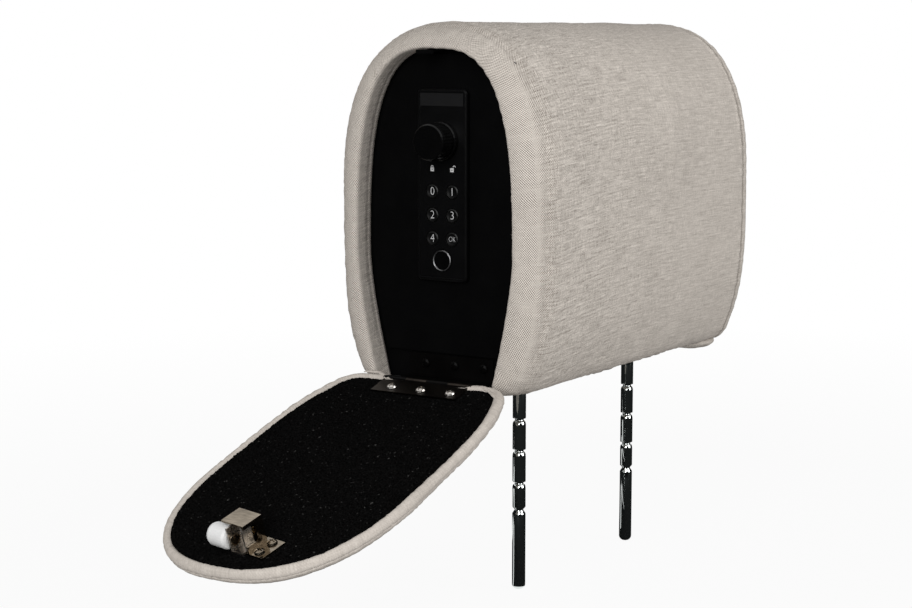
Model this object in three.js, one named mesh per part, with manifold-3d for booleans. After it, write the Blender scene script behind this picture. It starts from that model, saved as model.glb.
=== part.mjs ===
// Car safe built into a padded head restraint. Millimetres, +Z up.
// The padded body lies along X with its open end at the low end of X. A padded flap hangs open
// under that end, and a drawer with a keypad and a turn knob on its front slides out through it.
// Two notched posts carry the body. The origin lies midway between them, at the underside.

import * as THREE from 'three';
import { mergeVertices } from 'three/addons/utils/BufferGeometryUtils.js';
import Module from 'manifold-3d';

const wasm = await Module();
wasm.setup();

// Gaps that every joint between pieces uses
const seatGap = 0.3; // between two pieces that touch
const runningGap = 0.4; // between two pieces that slide or turn on each other
const cutOverrun = 2; // how far a cutting shape runs past what it cuts

// Padded body
const bodyLength = 346.4;
const bodyHalfWidth = 87.9;
const bodyWideHeight = 138.1; // height of the widest line over the underside
const bodyCrownRise = 119.7; // from the widest line to the top
const bodyFootTaper = 23.5; // how much narrower its foot is, to each side
const bodyFootHalfWidth = bodyHalfWidth - bodyFootTaper;
const bodyFootRounding = 15;
const bodyEdgeRadius = 21.5;
const bodyCrownShare = 2.43; // exponent of the superellipse over the widest line
const bodyFlareShare = 4; // exponent of the flare under it
const fabricThickness = 2.5; // woven face with its backing
const endPanelDepth = 12; // how far the sewn end panel wraps over the far edge

// Opening in the end of the body
const rimSideWidth = 23.2;
const rimFootWidth = 17.8;
const rimCrownWidth = 17.8;
const openingHalfWidth = bodyHalfWidth - rimSideWidth;
const openingWideHeight = 95.9;
const openingCrownRise = bodyWideHeight + bodyCrownRise - rimCrownWidth - openingWideHeight;
const openingFootHalfWidth = bodyFootHalfWidth - rimFootWidth;
const openingFootRounding = 6;
const openingCrownShare = 2.91;
const openingFlareShare = 1.42;
const recessDepth = 18.4; // from the rim to where the cloth ends

// Steel housing in the foam, with a flange that frames the drawer
const housingMargin = 5; // how far it reaches past the opening's outline
const housingWall = 1.5;
const housingFloorHeight = 22;
const housingFaceDepth = 21;
const foamBehindHousing = 26.4;
const housingLength = bodyLength - housingFaceDepth - foamBehindHousing;
const flangeLap = 6; // how far the flange reaches inside the opening's outline
const flangeFootHeight = 4;
const flangeSillHeight = 27;

// Posts
const postDiameter = 10;
const postSpacing = 169.2;
const postSetback = 19; // from the body's middle plane
const postDrop = 162.5; // from the underside down to the tips
const postNeckDiameter = 6.6;
const postNotchShoulder = 1.2; // height of the bevel under a notch's square shoulder
const postNotchNeck = 1.6;
const postNotchCone = 2.6;
const postNotchHeights = [61, 81.5, 106, 129.5]; // over the tip
const postTipRadius = 4;
const postTipFlat = 2.2;
const postStudDiameter = 8;
const postShoulderHeight = 11.7; // over the underside
const postStudHeight = 20.6;
const postNutAcross = 13;
const postNutHeight = 5.6;
const postHoleClearance = 0.8;

// Carrier that ties both posts to the housing floor
const carrierWidth = 34;
const carrierPlateHeight = 12;
const carrierPlate = 3;
const carrierEndMargin = 22; // past each post
const carrierFlange = 3;

// Flap, measured while it is closed, from its hinge axis
const hingeReach = 10.8; // how far the axis stands in front of the rim
const hingeHeight = 7.8;
const flapOpenAngle = 109;
const flapThickness = 14.4;
const flapInset = 5.6; // how far its outline lies inside the body's
const flapEdgeRadius = 12;
const flapLiningInset = 10.2;
const flapLiningThickness = 1.6;
const flapBoardThickness = 6;

// Hinge
const hingeAside = 4; // from the body's middle plane
const hingeMiddle = -hingeAside;
const hingeKnuckle = 17.6;
const hingeBarrelRadius = 2.6;
const hingeLeafThickness = 1.4;
const hingeLeafDepth = 20;
const hingePinRadius = 1.25;
const hingePinHead = 1.2;
const hingeBracketRise = 16.5;
const hingeScrewSpacing = 24.4;
const hingeScrewAside = 3; // from the hinge's middle
const hingeFlapScrewOffset = 13.8;
const hingeNotchMargin = 1.2;

// Pan-head screws
const screwHeadRadius = 3.6;
const screwHeadRise = 2.2;
const screwShankRadius = 1.8;
const screwShankLength = 7;
const screwSlotWidth = 0.9;
const screwSlotDepth = 0.9;

// Roller catch on the flap, from the hinge axis along the open flap
const catchAlong = 214.8;
const catchAside = 6; // from the body's middle plane
const catchAcross = -catchAside;
const catchTurn = -9; // degrees: it is screwed on slightly askew
const rollerRadius = 7.6;
const rollerLength = 16.5;
const rollerBore = 2;
const rollerEdge = 2.4;
const rollerAlong = 8.5; // from the catch's middle towards the flap's free end
const rollerRise = 8.3;
const rollerStart = 2.6; // from the catch's middle to the roller's near end
const catchSheet = 1.3;
const catchPlateRise = 18;
const catchPlateLength = 16;
const catchPlateWidth = 17;
const catchBaseLength = 20;
const catchBaseWidth = 14;
const catchTravel = 2.5;
const catchSpringRadius = 2.4;
const catchSpringWire = 0.6;
const catchSpringTurns = 3;
const catchSpringTurnSteps = 8;
const catchSpringWireSides = 5;
const catchScrewSpacing = 11;

// Strike for the roller, over the drawer
const strikeWidth = 14;
const strikeSheet = 1.2;
const strikeDrop = 0.8; // under the opening's crown
const strikeLip = 2.8;
const strikeReach = 1.2; // how far in front of the rim its lip stands
const strikeTab = 5;

// Drawer
const drawerInset = 3;
const drawerPlate = 3;
const drawerSillHeight = 24.6;
const trayHalfWidth = 37;
const trayFloorHeight = 30;
const trayWallHeight = 100;
const trayEndRoom = 19.5; // behind it, inside the housing
const trayLength = housingLength - housingWall - trayEndRoom;
const traySheet = 1.2;
const trayLinerThickness = 3;

// Drawer slides: three nested channels on each side
const railSheet = 1.2;
const railHeight = 35;
const railWidth = 11;
const railBottomHeight = 36;
const railEndRoom = 23.4; // behind it, inside the housing
const railLength = housingLength - 2 * housingWall - 2 * seatGap - railEndRoom;
const railFootWidth = 4.5;

// Keypad panel on the drawer's front
const keypadHalfWidth = 20.7;
const keypadBottom = 76.9;
const keypadHeight = 135;
const keypadThickness = 4.4;
const keypadCorner = 2.4;
const keypadBevel = 1;
const keypadBorder = 2.2;
const keypadFaceDepth = 0.7;
const labelHeight = 9;
const labelThickness = 0.5;
const keyPitch = 16.6;
const keyTopDrop = 71.9; // from the panel's top to the first row of keys
const keyTopRow = keypadBottom + keypadHeight - keyTopDrop;
const keyRadius = 4.9;
const keyThickness = 2.1;
const keyDish = 0.7;
const keyTravel = 0.8;
const sensorDrop = 15.3; // from the last row of keys to the sensor
const sensorRingRadius = 7.8;
const sensorRadius = 6;
const sensorRingRise = 0.6;

// Knob and its collar
const knobDrop = 36.4; // from the panel's top to its axis
const knobHeight = keypadBottom + keypadHeight - knobDrop;
const knobRadius = 13.2;
const knobLength = 13.4;
const knobGrooves = 36;
const knobGrooveDepth = 0.45;
const knobGripShare = 0.62; // of its length that carries grooves
const knobFaceBevel = 0.9;
const collarRadius = 13.8;
const collarLength = 4.2;
const collarBevel = 0.8;
const spindleRadius = 4;

// Bolt work behind the drawer's front
const boltTravel = 8;
const boltThickness = 2.6;
const boltHeight = 12;
const boltSplit = 0.8; // from the knob's axis to a bolt's near edge
const boltTip = 52.6; // from the knob's axis, drawn back
const camRadius = 9.6;
const camThickness = 3;
const camDepth = 6.5; // behind the drawer's plate
const camPinRadius = 1.5;
const camSlotMargin = 0.7;
const camEdgeMargin = 2.4;
const lockHalfWidth = 32;
const lockUnderKnob = 91.5;
const lockOverKnob = 34.5;
const lockBottom = knobHeight - lockUnderKnob;
const lockTop = knobHeight + lockOverKnob;
const lockTrayRoom = 2; // over the tray's low front
const lockDepth = 26;
const lockWall = 1.5;
const boardWidth = 44;
const boardHeight = 42;
const boardThickness = 1.6;
const boardUnderKnob = 43.5; // to the board's middle
const batteryWidth = 54;
const batteryHeight = 34;
const batteryDepth = 17;
const solenoidRadius = 6;
const solenoidLength = 17;
const plungerRadius = 1.4;
const plungerLength = 9;
const plungerTravel = 1.5;
const camNotchDepth = 1.6;

// Smoothness of curved outlines
const crownSteps = 11;
const flareSteps = 4;
const edgeSteps = 4;
const fineSides = 28;
const roundSides = 20;
const smallSides = 12;

const materials = {
  cloth: { color: 0xb3a89a, roughness: 0.95, metalness: 0 },
  foam: { color: 0x3a3a3c, roughness: 1, metalness: 0 },
  carpet: { color: 0x0c0c0d, roughness: 1, metalness: 0 },
  board: { color: 0x2a2622, roughness: 0.9, metalness: 0 },
  blackSteel: { color: 0x0b0b0c, roughness: 0.45, metalness: 0.3 },
  blackPlastic: { color: 0x101012, roughness: 0.4, metalness: 0 },
  greyPlastic: { color: 0x1d1e20, roughness: 0.5, metalness: 0 },
  chrome: { color: 0xc8cacc, roughness: 0.08, metalness: 1 },
  zinc: { color: 0xaaa79f, roughness: 0.32, metalness: 1 },
  nickel: { color: 0xa89f8e, roughness: 0.28, metalness: 1 },
  nylon: { color: 0xe4e4e2, roughness: 0.5, metalness: 0 },
  circuit: { color: 0x1f4a2c, roughness: 0.6, metalness: 0 },
};

// Solids

function solidOf(geometry) {
  const bare = new THREE.BufferGeometry();
  bare.setAttribute('position', geometry.attributes.position.clone());
  if (geometry.index) bare.setIndex(geometry.index.clone());
  const merged = mergeVertices(bare);
  const corners = merged.index.array;
  const kept = [];
  for (let i = 0; i < corners.length; i += 3) {
    const [a, b, c] = [corners[i], corners[i + 1], corners[i + 2]];
    if (a !== b && b !== c && c !== a) kept.push(a, b, c);
  }
  const vertProperties = new Float32Array(merged.attributes.position.array);
  return new wasm.Manifold(new wasm.Mesh({ numProp: 3, vertProperties, triVerts: new Uint32Array(kept) }));
}

function geometryOf(solid) {
  const mesh = solid.getMesh();
  const geometry = new THREE.BufferGeometry();
  geometry.setAttribute('position', new THREE.BufferAttribute(new Float32Array(mesh.vertProperties), 3));
  geometry.setIndex(new THREE.BufferAttribute(new Uint32Array(mesh.triVerts), 1));
  geometry.computeVertexNormals();
  return geometry;
}

function addPiece(group, name, solid, material) {
  const mesh = new THREE.Mesh(geometryOf(solid), new THREE.MeshStandardMaterial(material));
  mesh.name = name;
  group.add(mesh);
  return mesh;
}

// Outlines lie in the Y-Z plane, as Vector2(y, z), and are swept along X
const sweepAlongX = new THREE.Matrix4().makeBasis(
  new THREE.Vector3(0, 1, 0), new THREE.Vector3(0, 0, 1), new THREE.Vector3(1, 0, 0));

function sweep(shape, from, to) {
  const geometry = new THREE.ExtrudeGeometry(shape, { depth: to - from, bevelEnabled: false });
  geometry.applyMatrix4(sweepAlongX);
  geometry.translate(from, 0, 0);
  return solidOf(geometry);
}

function sweepRounded(points, from, to, radius) {
  const shape = new THREE.Shape(insetLoop(points, radius));
  const depth = to - from - 2 * radius;
  const bevel = { bevelThickness: radius, bevelSize: radius, bevelSegments: edgeSteps };
  const geometry = new THREE.ExtrudeGeometry(shape, { depth, bevelEnabled: true, ...bevel });
  geometry.applyMatrix4(sweepAlongX);
  geometry.translate(from + radius, 0, 0);
  return solidOf(geometry);
}

// A block between two corners
function block(x0, x1, y0, y1, z0, z1) {
  const geometry = new THREE.BoxGeometry(x1 - x0, y1 - y0, z1 - z0);
  geometry.translate((x0 + x1) / 2, (y0 + y1) / 2, (z0 + z1) / 2);
  return solidOf(geometry);
}

// A turned piece about Z, from profile points [radius, height] that rise from axis to axis
function turned(profile, sides) {
  const geometry = new THREE.LatheGeometry(profile.map(([r, z]) => new THREE.Vector2(r, z)), sides);
  geometry.rotateX(Math.PI / 2);
  return solidOf(geometry);
}

function turnedAlongX(profile, sides, y, z) {
  return turned(profile, sides).rotate([0, 90, 0]).translate([0, y, z]);
}

function turnedAlongY(profile, sides, x, z) {
  return turned(profile, sides).rotate([-90, 0, 0]).translate([x, 0, z]);
}

function rod(radius, from, to) {
  return [[0, from], [radius, from], [radius, to], [0, to]];
}

function ringProfile(inner, outer, from, to) {
  return [[inner, from], [outer, from], [outer, to], [inner, to], [inner, from]];
}

function insetLoop(points, distance) {
  const count = points.length;
  return points.map((point, i) => {
    const ahead = points[(i + 1) % count];
    const behind = points[(i - 1 + count) % count];
    const along = new THREE.Vector2().subVectors(ahead, behind).normalize();
    return new THREE.Vector2(point.x - along.y * distance, point.y + along.x * distance);
  });
}

// Half-round outline: a flat foot, a flaring side and a superellipse crown
function padLoop(halfWidth, wideHeight, crownRise, footHalfWidth, rounding, crownShare, flareShare) {
  const side = (share) => new THREE.Vector2(
    halfWidth - (halfWidth - footHalfWidth) * share ** flareShare, wideHeight * (1 - share));
  const cornerShare = 1 - rounding / wideHeight;
  const corner = new THREE.QuadraticBezierCurve(
    new THREE.Vector2(footHalfWidth - rounding, 0),
    new THREE.Vector2(footHalfWidth, 0), side(cornerShare));
  const half = corner.getPoints(edgeSteps - 1);
  for (let i = 1; i <= flareSteps; i++) half.push(side(cornerShare * (1 - i / flareSteps)));
  for (let i = 1; i < crownSteps; i++) {
    const angle = (i / crownSteps) * (Math.PI / 2);
    half.push(new THREE.Vector2(
      halfWidth * Math.cos(angle) ** (2 / crownShare),
      wideHeight + crownRise * Math.sin(angle) ** (2 / crownShare)));
  }
  const top = new THREE.Vector2(0, wideHeight + crownRise);
  const mirrored = half.map((point) => new THREE.Vector2(-point.x, point.y)).reverse();
  return [...half, top, ...mirrored];
}

const bodyLoop = padLoop(bodyHalfWidth, bodyWideHeight, bodyCrownRise,
  bodyFootHalfWidth, bodyFootRounding, bodyCrownShare, bodyFlareShare);
const openingLoop = padLoop(openingHalfWidth, openingWideHeight, openingCrownRise,
  openingFootHalfWidth, openingFootRounding, openingCrownShare, openingFlareShare);
const bodyTop = bodyWideHeight + bodyCrownRise;
const openingTop = openingWideHeight + openingCrownRise;

function bodyPad(inset) {
  return sweepRounded(insetLoop(bodyLoop, inset), inset, bodyLength - inset, bodyEdgeRadius - inset);
}

// The opening's outline grown by a margin, from X to X, cut off level under a height
function openingSweep(margin, from, to, sill) {
  const swept = sweep(new THREE.Shape(insetLoop(openingLoop, -margin)), from, to);
  const wide = openingHalfWidth + Math.abs(margin) + cutOverrun;
  const below = block(from - cutOverrun, to + cutOverrun, -wide, wide, -bodyTop, sill);
  return swept.subtract(below);
}

// Opening with its foot run down through the underside
function openingCut(margin, from, to) {
  const swept = sweep(new THREE.Shape(insetLoop(openingLoop, -margin)), from, to);
  const halfFoot = openingFootHalfWidth - openingFootRounding + margin;
  const foot = block(from, to, -halfFoot, halfFoot, -margin - cutOverrun, openingFootRounding);
  return swept.add(foot);
}

// Padded body: cloth, foam, housing

const postX = [bodyLength / 2 - postSpacing / 2, bodyLength / 2 + postSpacing / 2];

function postHoles(radius, from, to) {
  return postX.map((x) => turned(rod(radius, from, to), roundSides).translate([x, -postSetback, 0]));
}

function clothShell() {
  const opening = openingCut(0, -cutOverrun, recessDepth + cutOverrun);
  const rimWall = openingCut(fabricThickness, -cutOverrun, recessDepth).intersect(bodyPad(0));
  let shell = bodyPad(0).subtract(bodyPad(fabricThickness)).add(rimWall).subtract(opening);
  const holeRadius = postDiameter / 2 + postHoleClearance;
  for (const hole of postHoles(holeRadius, -cutOverrun, fabricThickness + cutOverrun)) {
    shell = shell.subtract(hole);
  }
  return shell;
}

function splitAtSeam(solid) {
  const seam = bodyLength - endPanelDepth;
  const wide = bodyHalfWidth + cutOverrun;
  const farSide = block(seam - seatGap / 2, bodyLength + cutOverrun, -wide, wide, -cutOverrun, bodyTop + cutOverrun);
  const nearSide = block(-cutOverrun, seam + seatGap / 2, -wide, wide, -cutOverrun, bodyTop + cutOverrun);
  return [solid.subtract(farSide), solid.subtract(nearSide)];
}

function carrierBlock(margin) {
  const x0 = postX[0] - carrierEndMargin - margin;
  const x1 = postX[1] + carrierEndMargin + margin;
  const y0 = -postSetback - carrierWidth / 2 - margin;
  const y1 = -postSetback + carrierWidth / 2 + margin;
  return block(x0, x1, y0, y1, carrierPlateHeight - margin, housingFloorHeight - seatGap);
}

function foamBody() {
  const clothGap = fabricThickness + seatGap;
  let foam = bodyPad(clothGap);
  foam = foam.subtract(openingCut(clothGap, -cutOverrun, recessDepth + clothGap));
  const envelope = housingMargin + seatGap;
  const housingEnd = housingFaceDepth + housingLength + seatGap;
  foam = foam.subtract(openingSweep(envelope, recessDepth, housingEnd, housingFloorHeight - seatGap));
  const flangeBack = housingFaceDepth + housingWall + seatGap;
  foam = foam.subtract(openingSweep(envelope, 0, flangeBack, -cutOverrun));
  foam = foam.subtract(carrierBlock(seatGap).add(carrierBlock(seatGap).translate([0, 0, seatGap])));
  for (const hole of postHoles(postDiameter / 2 + postHoleClearance, 0, carrierPlateHeight)) {
    foam = foam.subtract(hole);
  }
  return foam;
}

function steelHousing() {
  const end = housingFaceDepth + housingLength;
  const outer = openingSweep(housingMargin, housingFaceDepth, end, housingFloorHeight);
  const cavityFloor = housingFloorHeight + housingWall;
  const cavity = openingSweep(housingMargin - housingWall, housingFaceDepth + housingWall,
    end - housingWall, cavityFloor);
  const flangeEnd = housingFaceDepth + housingWall;
  const flange = openingSweep(housingMargin, housingFaceDepth, flangeEnd, flangeFootHeight);
  const mouth = openingSweep(-flangeLap, housingFaceDepth - cutOverrun, flangeEnd + cutOverrun, flangeSillHeight);
  let shell = outer.subtract(cavity).add(flange).subtract(mouth);
  for (const x of postX) {
    const stud = turned(rod(postStudDiameter / 2 + runningGap, 0, cavityFloor + cutOverrun), smallSides);
    shell = shell.subtract(stud.translate([x, -postSetback, 0]));
  }
  return shell;
}

// Posts

function postProfile() {
  const radius = postDiameter / 2;
  const neck = postNeckDiameter / 2;
  const profile = [[0, -postDrop], [postTipFlat, -postDrop]];
  const tipSteps = 3;
  for (let i = 1; i <= tipSteps; i++) {
    const angle = (i / tipSteps) * (Math.PI / 2);
    profile.push([postTipFlat + (radius - postTipFlat) * Math.sin(angle),
      -postDrop + postTipRadius * (1 - Math.cos(angle))]);
  }
  for (const height of postNotchHeights) {
    const middle = height - postDrop;
    profile.push([radius, middle - postNotchNeck / 2 - postNotchCone]);
    profile.push([neck, middle - postNotchNeck / 2]);
    profile.push([neck, middle + postNotchNeck / 2]);
    profile.push([radius, middle + postNotchNeck / 2 + postNotchShoulder]);
  }
  const stud = postStudDiameter / 2;
  profile.push([radius, postShoulderHeight], [stud, postShoulderHeight], [stud, postStudHeight]);
  profile.push([0, postStudHeight]);
  return profile;
}

function hexNut(across, height, bore) {
  const corner = across / 2 / Math.cos(Math.PI / 6);
  const nut = solidOf(new THREE.CylinderGeometry(corner, corner, height, 6).rotateX(Math.PI / 2));
  return nut.subtract(turned(rod(bore, -height, height), smallSides)).translate([0, 0, height / 2]);
}

function postCarrier() {
  const top = carrierPlateHeight + carrierPlate;
  const inside = block(0, bodyLength, -postSetback - carrierWidth / 2 + carrierFlange,
    -postSetback + carrierWidth / 2 - carrierFlange, top, housingFloorHeight + cutOverrun);
  let carrier = carrierBlock(0).subtract(inside);
  for (const x of postX) {
    const hole = turned(rod(postStudDiameter / 2 + seatGap, 0, top + cutOverrun), smallSides);
    carrier = carrier.subtract(hole.translate([x, -postSetback, 0]));
  }
  return carrier;
}

// Screw with its head facing along -Z under the plate and its shank up, turned to face by the caller
function panScrew(shankLength) {
  const dome = 3;
  const profile = [[0, -screwHeadRise]];
  for (let i = 1; i <= dome; i++) {
    const angle = (i / dome) * (Math.PI / 2);
    profile.push([screwHeadRadius * Math.sin(angle), -screwHeadRise * Math.cos(angle)]);
  }
  profile.push([screwShankRadius, 0], [screwShankRadius, shankLength], [0, shankLength]);
  const screw = turned(profile, smallSides);
  const half = screwSlotWidth / 2;
  const arm = screwHeadRadius * Math.SQRT1_2;
  const bottom = -screwHeadRise - cutOverrun;
  const top = -screwHeadRise + screwSlotDepth;
  const cross = block(-arm, arm, -half, half, bottom, top).add(block(-half, half, -arm, arm, bottom, top));
  return screw.subtract(cross);
}

// Hinge

const hingeHalf = 2 * hingeKnuckle;
const knuckleStarts = [0, 1, 2, 3].map((i) => hingeMiddle + hingeHalf - (i + 1) * hingeKnuckle);

function knuckles(first) {
  const bore = hingePinRadius + seatGap;
  return [knuckleStarts[first], knuckleStarts[first + 2]].map((start) => turnedAlongY(
    ringProfile(bore, hingeBarrelRadius, start + seatGap / 2, start + hingeKnuckle - seatGap / 2),
    smallSides, 0, 0));
}

// Between the knuckles of one leaf the other leaf's knuckles need room
function knuckleRoom(first) {
  const reach = hingeBarrelRadius + runningGap;
  return [knuckleStarts[first], knuckleStarts[first + 2]].map((start) => block(
    -reach - cutOverrun, reach, start - seatGap / 2, start + hingeKnuckle + seatGap / 2, -reach, reach));
}

function barrelBore() {
  const start = knuckleStarts[3] - cutOverrun;
  const end = knuckleStarts[0] + hingeKnuckle + cutOverrun;
  return turnedAlongY(rod(hingePinRadius + seatGap, start, end), smallSides, 0, 0);
}

const bracketFace = housingFaceDepth + hingeReach - seatGap; // from the axis back to the flange
const hingeBodyScrewRise = hingeBracketRise / 2;

const hingeScrewYs = [-1, 0, 1].map((step) => hingeMiddle - hingeScrewAside + step * hingeScrewSpacing);

function hingeBodyLeaf() {
  const y0 = hingeMiddle - hingeHalf;
  const y1 = hingeMiddle + hingeHalf;
  const sheet = hingeLeafThickness;
  let leaf = block(0, bracketFace, y0, y1, -hingeBarrelRadius, -hingeBarrelRadius + sheet);
  const rise = block(bracketFace - sheet, bracketFace, y0, y1, -hingeBarrelRadius, hingeBracketRise - sheet);
  leaf = leaf.add(rise);
  for (const knuckle of knuckles(0)) leaf = leaf.add(knuckle);
  for (const room of knuckleRoom(1)) leaf = leaf.subtract(room);
  leaf = leaf.subtract(barrelBore());
  for (const y of hingeScrewYs) {
    const hole = turnedAlongX(rod(screwShankRadius + seatGap, 0, bracketFace + cutOverrun), smallSides,
      y, hingeBodyScrewRise);
    leaf = leaf.subtract(hole.translate([bracketFace / 2, 0, 0]));
  }
  return leaf;
}

function hingeFlapLeaf() {
  const y0 = hingeMiddle - hingeHalf;
  const y1 = hingeMiddle + hingeHalf;
  let leaf = block(seatGap, seatGap + hingeLeafThickness, y0, y1, 0, hingeLeafDepth);
  for (const knuckle of knuckles(1)) leaf = leaf.add(knuckle);
  for (const room of knuckleRoom(0)) leaf = leaf.subtract(room);
  leaf = leaf.subtract(barrelBore());
  for (const y of hingeScrewYs) {
    const hole = turnedAlongX(rod(screwShankRadius + seatGap, -cutOverrun, flapThickness), smallSides,
      y, hingeFlapScrewOffset);
    leaf = leaf.subtract(hole.translate([-cutOverrun, 0, 0]));
  }
  return leaf;
}

function hingePin() {
  const start = knuckleStarts[3] - seatGap;
  const end = knuckleStarts[0] + hingeKnuckle + seatGap;
  const head = hingeBarrelRadius - seatGap;
  const profile = [[0, start - hingePinHead], [head, start - hingePinHead], [head, start],
    [hingePinRadius, start], [hingePinRadius, end], [head, end], [head, end + hingePinHead],
    [0, end + hingePinHead]];
  return turnedAlongY(profile, smallSides, 0, 0);
}

// Flap, in the closed position, about its hinge axis

const flapLoop = insetLoop(bodyLoop, flapInset).map((p) => new THREE.Vector2(p.x, p.y - hingeHeight));
const flapLiningLoop = insetLoop(bodyLoop, flapLiningInset).map(
  (p) => new THREE.Vector2(p.x, p.y - hingeHeight));

function hingeNotch() {
  const half = hingeHalf + hingePinHead + hingeNotchMargin;
  const reach = hingeBarrelRadius + hingeNotchMargin;
  const depth = hingeBarrelRadius + hingeLeafThickness + hingeNotchMargin;
  return block(-depth, cutOverrun, hingeMiddle - half, hingeMiddle + half, -bodyEdgeRadius, reach);
}

function screwPits(ys, z, x0) {
  return ys.map((y) => turnedAlongX(rod(screwShankRadius + seatGap, x0, cutOverrun), smallSides, y, z));
}

const flapScrewEnd = seatGap + hingeLeafThickness - screwShankLength - seatGap;

function flapCover() {
  const pad = sweepRounded(flapLoop, -flapThickness, flapThickness, flapEdgeRadius);
  const wide = bodyHalfWidth + cutOverrun;
  const innerHalf = block(0, flapThickness + cutOverrun, -wide, wide, -bodyTop, bodyTop);
  const pocketDepth = flapLiningThickness + flapBoardThickness + 2 * seatGap;
  const pocket = sweep(new THREE.Shape(flapLiningLoop), -pocketDepth, cutOverrun);
  return pad.subtract(innerHalf).subtract(pocket).subtract(hingeNotch());
}

function flapLayer(front, thickness) {
  const loop = insetLoop(flapLiningLoop, seatGap);
  let layer = sweep(new THREE.Shape(loop), front - thickness, front).subtract(hingeNotch());
  for (const pit of screwPits(hingeScrewYs, hingeFlapScrewOffset, flapScrewEnd)) {
    layer = layer.subtract(pit);
  }
  return layer;
}

// Roller catch, in its own frame: X off the flap, Y across it, Z towards its free end

const catchWebY = -catchPlateWidth / 2;
const catchScrewY = catchWebY - catchSheet - catchBaseWidth / 2;
const catchScrewZs = [-catchScrewSpacing / 2, catchScrewSpacing / 2];

function catchBracket() {
  const half = catchPlateLength / 2;
  const baseTop = seatGap + catchSheet;
  const plateTop = catchPlateRise + catchSheet;
  const webOuter = catchWebY - catchSheet;
  const base = block(seatGap, baseTop, webOuter - catchBaseWidth, catchWebY, -catchBaseLength / 2, catchBaseLength / 2);
  const web = block(seatGap, plateTop, webOuter, catchWebY, -half, half);
  const plate = block(catchPlateRise, plateTop, webOuter, -webOuter, -half, half);
  const back = block(seatGap, plateTop, webOuter, 0, -half, -half + catchSheet);
  let bracket = base.add(web).add(plate).add(back);
  for (const z of catchScrewZs) {
    bracket = bracket.subtract(turnedAlongX(rod(screwShankRadius + seatGap, -cutOverrun, baseTop + cutOverrun),
      smallSides, catchScrewY, z));
  }
  return bracket;
}

// The slider carries the roller's axle and runs under the bracket's plate
const sliderY0 = catchWebY + runningGap;
const sliderY1 = rollerStart - runningGap;
const sliderTop = catchPlateRise - runningGap;
const sliderBack = -catchPlateLength / 2 + catchSheet + 2 * catchSpringRadius + catchTravel;

function catchSlider() {
  const sheet = catchSheet;
  const cheek = block(seatGap, sliderTop, sliderY1 - sheet, sliderY1, sliderBack, rollerAlong + rollerRadius / 2);
  const sole = block(seatGap, seatGap + sheet, sliderY0, sliderY1, sliderBack, rollerAlong + rollerRadius / 2);
  const wall = block(seatGap, sliderTop, sliderY0, sliderY0 + sheet, sliderBack, catchPlateLength / 2);
  const back = block(seatGap, sliderTop, sliderY0, sliderY1, sliderBack, sliderBack + sheet);
  const hole = turnedAlongY(rod(rollerBore + seatGap, sliderY1 - sheet - cutOverrun, sliderY1 + cutOverrun),
    smallSides, rollerRise, rollerAlong);
  return cheek.add(sole).add(wall).add(back).subtract(hole);
}

function rollerProfile() {
  const bore = rollerBore + seatGap;
  const end = rollerStart + rollerLength;
  const low = rollerRadius - rollerEdge;
  const soft = rollerRadius - rollerEdge * (1 - Math.SQRT1_2);
  const turn = rollerEdge * (1 - Math.SQRT1_2);
  return [[bore, rollerStart], [low, rollerStart], [soft, rollerStart + turn], [rollerRadius, rollerStart + rollerEdge],
    [rollerRadius, end - rollerEdge], [soft, end - turn], [low, end], [bore, end], [bore, rollerStart]];
}

function axleProfile() {
  const head = 2 * rollerBore;
  const inner = sliderY1 - catchSheet - seatGap;
  const outer = rollerStart + rollerLength + seatGap;
  return [[0, inner - catchSheet], [head, inner - catchSheet], [head, inner], [rollerBore, inner],
    [rollerBore, outer], [head, outer], [head, outer + catchSheet / 2], [0, outer + catchSheet / 2]];
}

// Least gap between turns of a wound wire, over all points at least half a turn apart
function leastGap(points, apart, wire) {
  let least = Infinity;
  points.forEach((point, i) => points.slice(i + apart).forEach((other) => {
    least = Math.min(least, point.distanceTo(other) - wire);
  }));
  return least;
}

// One unbroken wound wire on the bracket's back wall, clear of the slider's travel
function catchSpring() {
  const length = 2 * catchSpringRadius - 2 * seatGap;
  const coilRadius = catchSpringRadius - catchSpringWire / 2;
  const start = -catchPlateLength / 2 + catchSheet + seatGap + catchSpringWire / 2;
  const middleY = (catchWebY + catchSheet) / 2;
  const steps = catchSpringTurns * catchSpringTurnSteps;
  const points = [];
  for (let i = 0; i <= steps; i++) {
    const angle = (i / catchSpringTurnSteps) * 2 * Math.PI;
    points.push(new THREE.Vector3(rollerRise + coilRadius * Math.cos(angle),
      middleY + coilRadius * Math.sin(angle), start + (i / steps) * (length - catchSpringWire)));
  }
  const gap = leastGap(points, catchSpringTurnSteps / 2, catchSpringWire);
  console.log(`catch_spring least gap to itself ${gap.toFixed(2)} mm`);
  const corners = Array.from({ length: catchSpringWireSides }, (_, i) => {
    const angle = (i / catchSpringWireSides) * 2 * Math.PI;
    const radius = catchSpringWire / 2;
    return new THREE.Vector2(radius * Math.cos(angle), radius * Math.sin(angle));
  });
  const section = new THREE.Shape(corners);
  const extrudePath = new THREE.CatmullRomCurve3(points);
  return solidOf(new THREE.ExtrudeGeometry(section, { steps, extrudePath, bevelEnabled: false }));
}

// Strike: a bent tab on the flange whose lip the roller snaps behind

const strikeMiddle = catchAcross + rollerStart + rollerLength / 2;

function catchStrike() {
  const y0 = strikeMiddle - strikeWidth / 2;
  const y1 = strikeMiddle + strikeWidth / 2;
  const top = openingTop - strikeDrop;
  const back = housingFaceDepth - seatGap;
  const shelf = block(-strikeReach, back, y0, y1, top - strikeSheet, top);
  const lip = block(-strikeReach, -strikeReach + strikeSheet, y0, y1, top - strikeLip, top);
  const tab = block(back - strikeSheet, back, y0, y1, top - strikeSheet, top + strikeTab - strikeSheet);
  return shelf.add(lip).add(tab);
}

// Drawer

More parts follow.
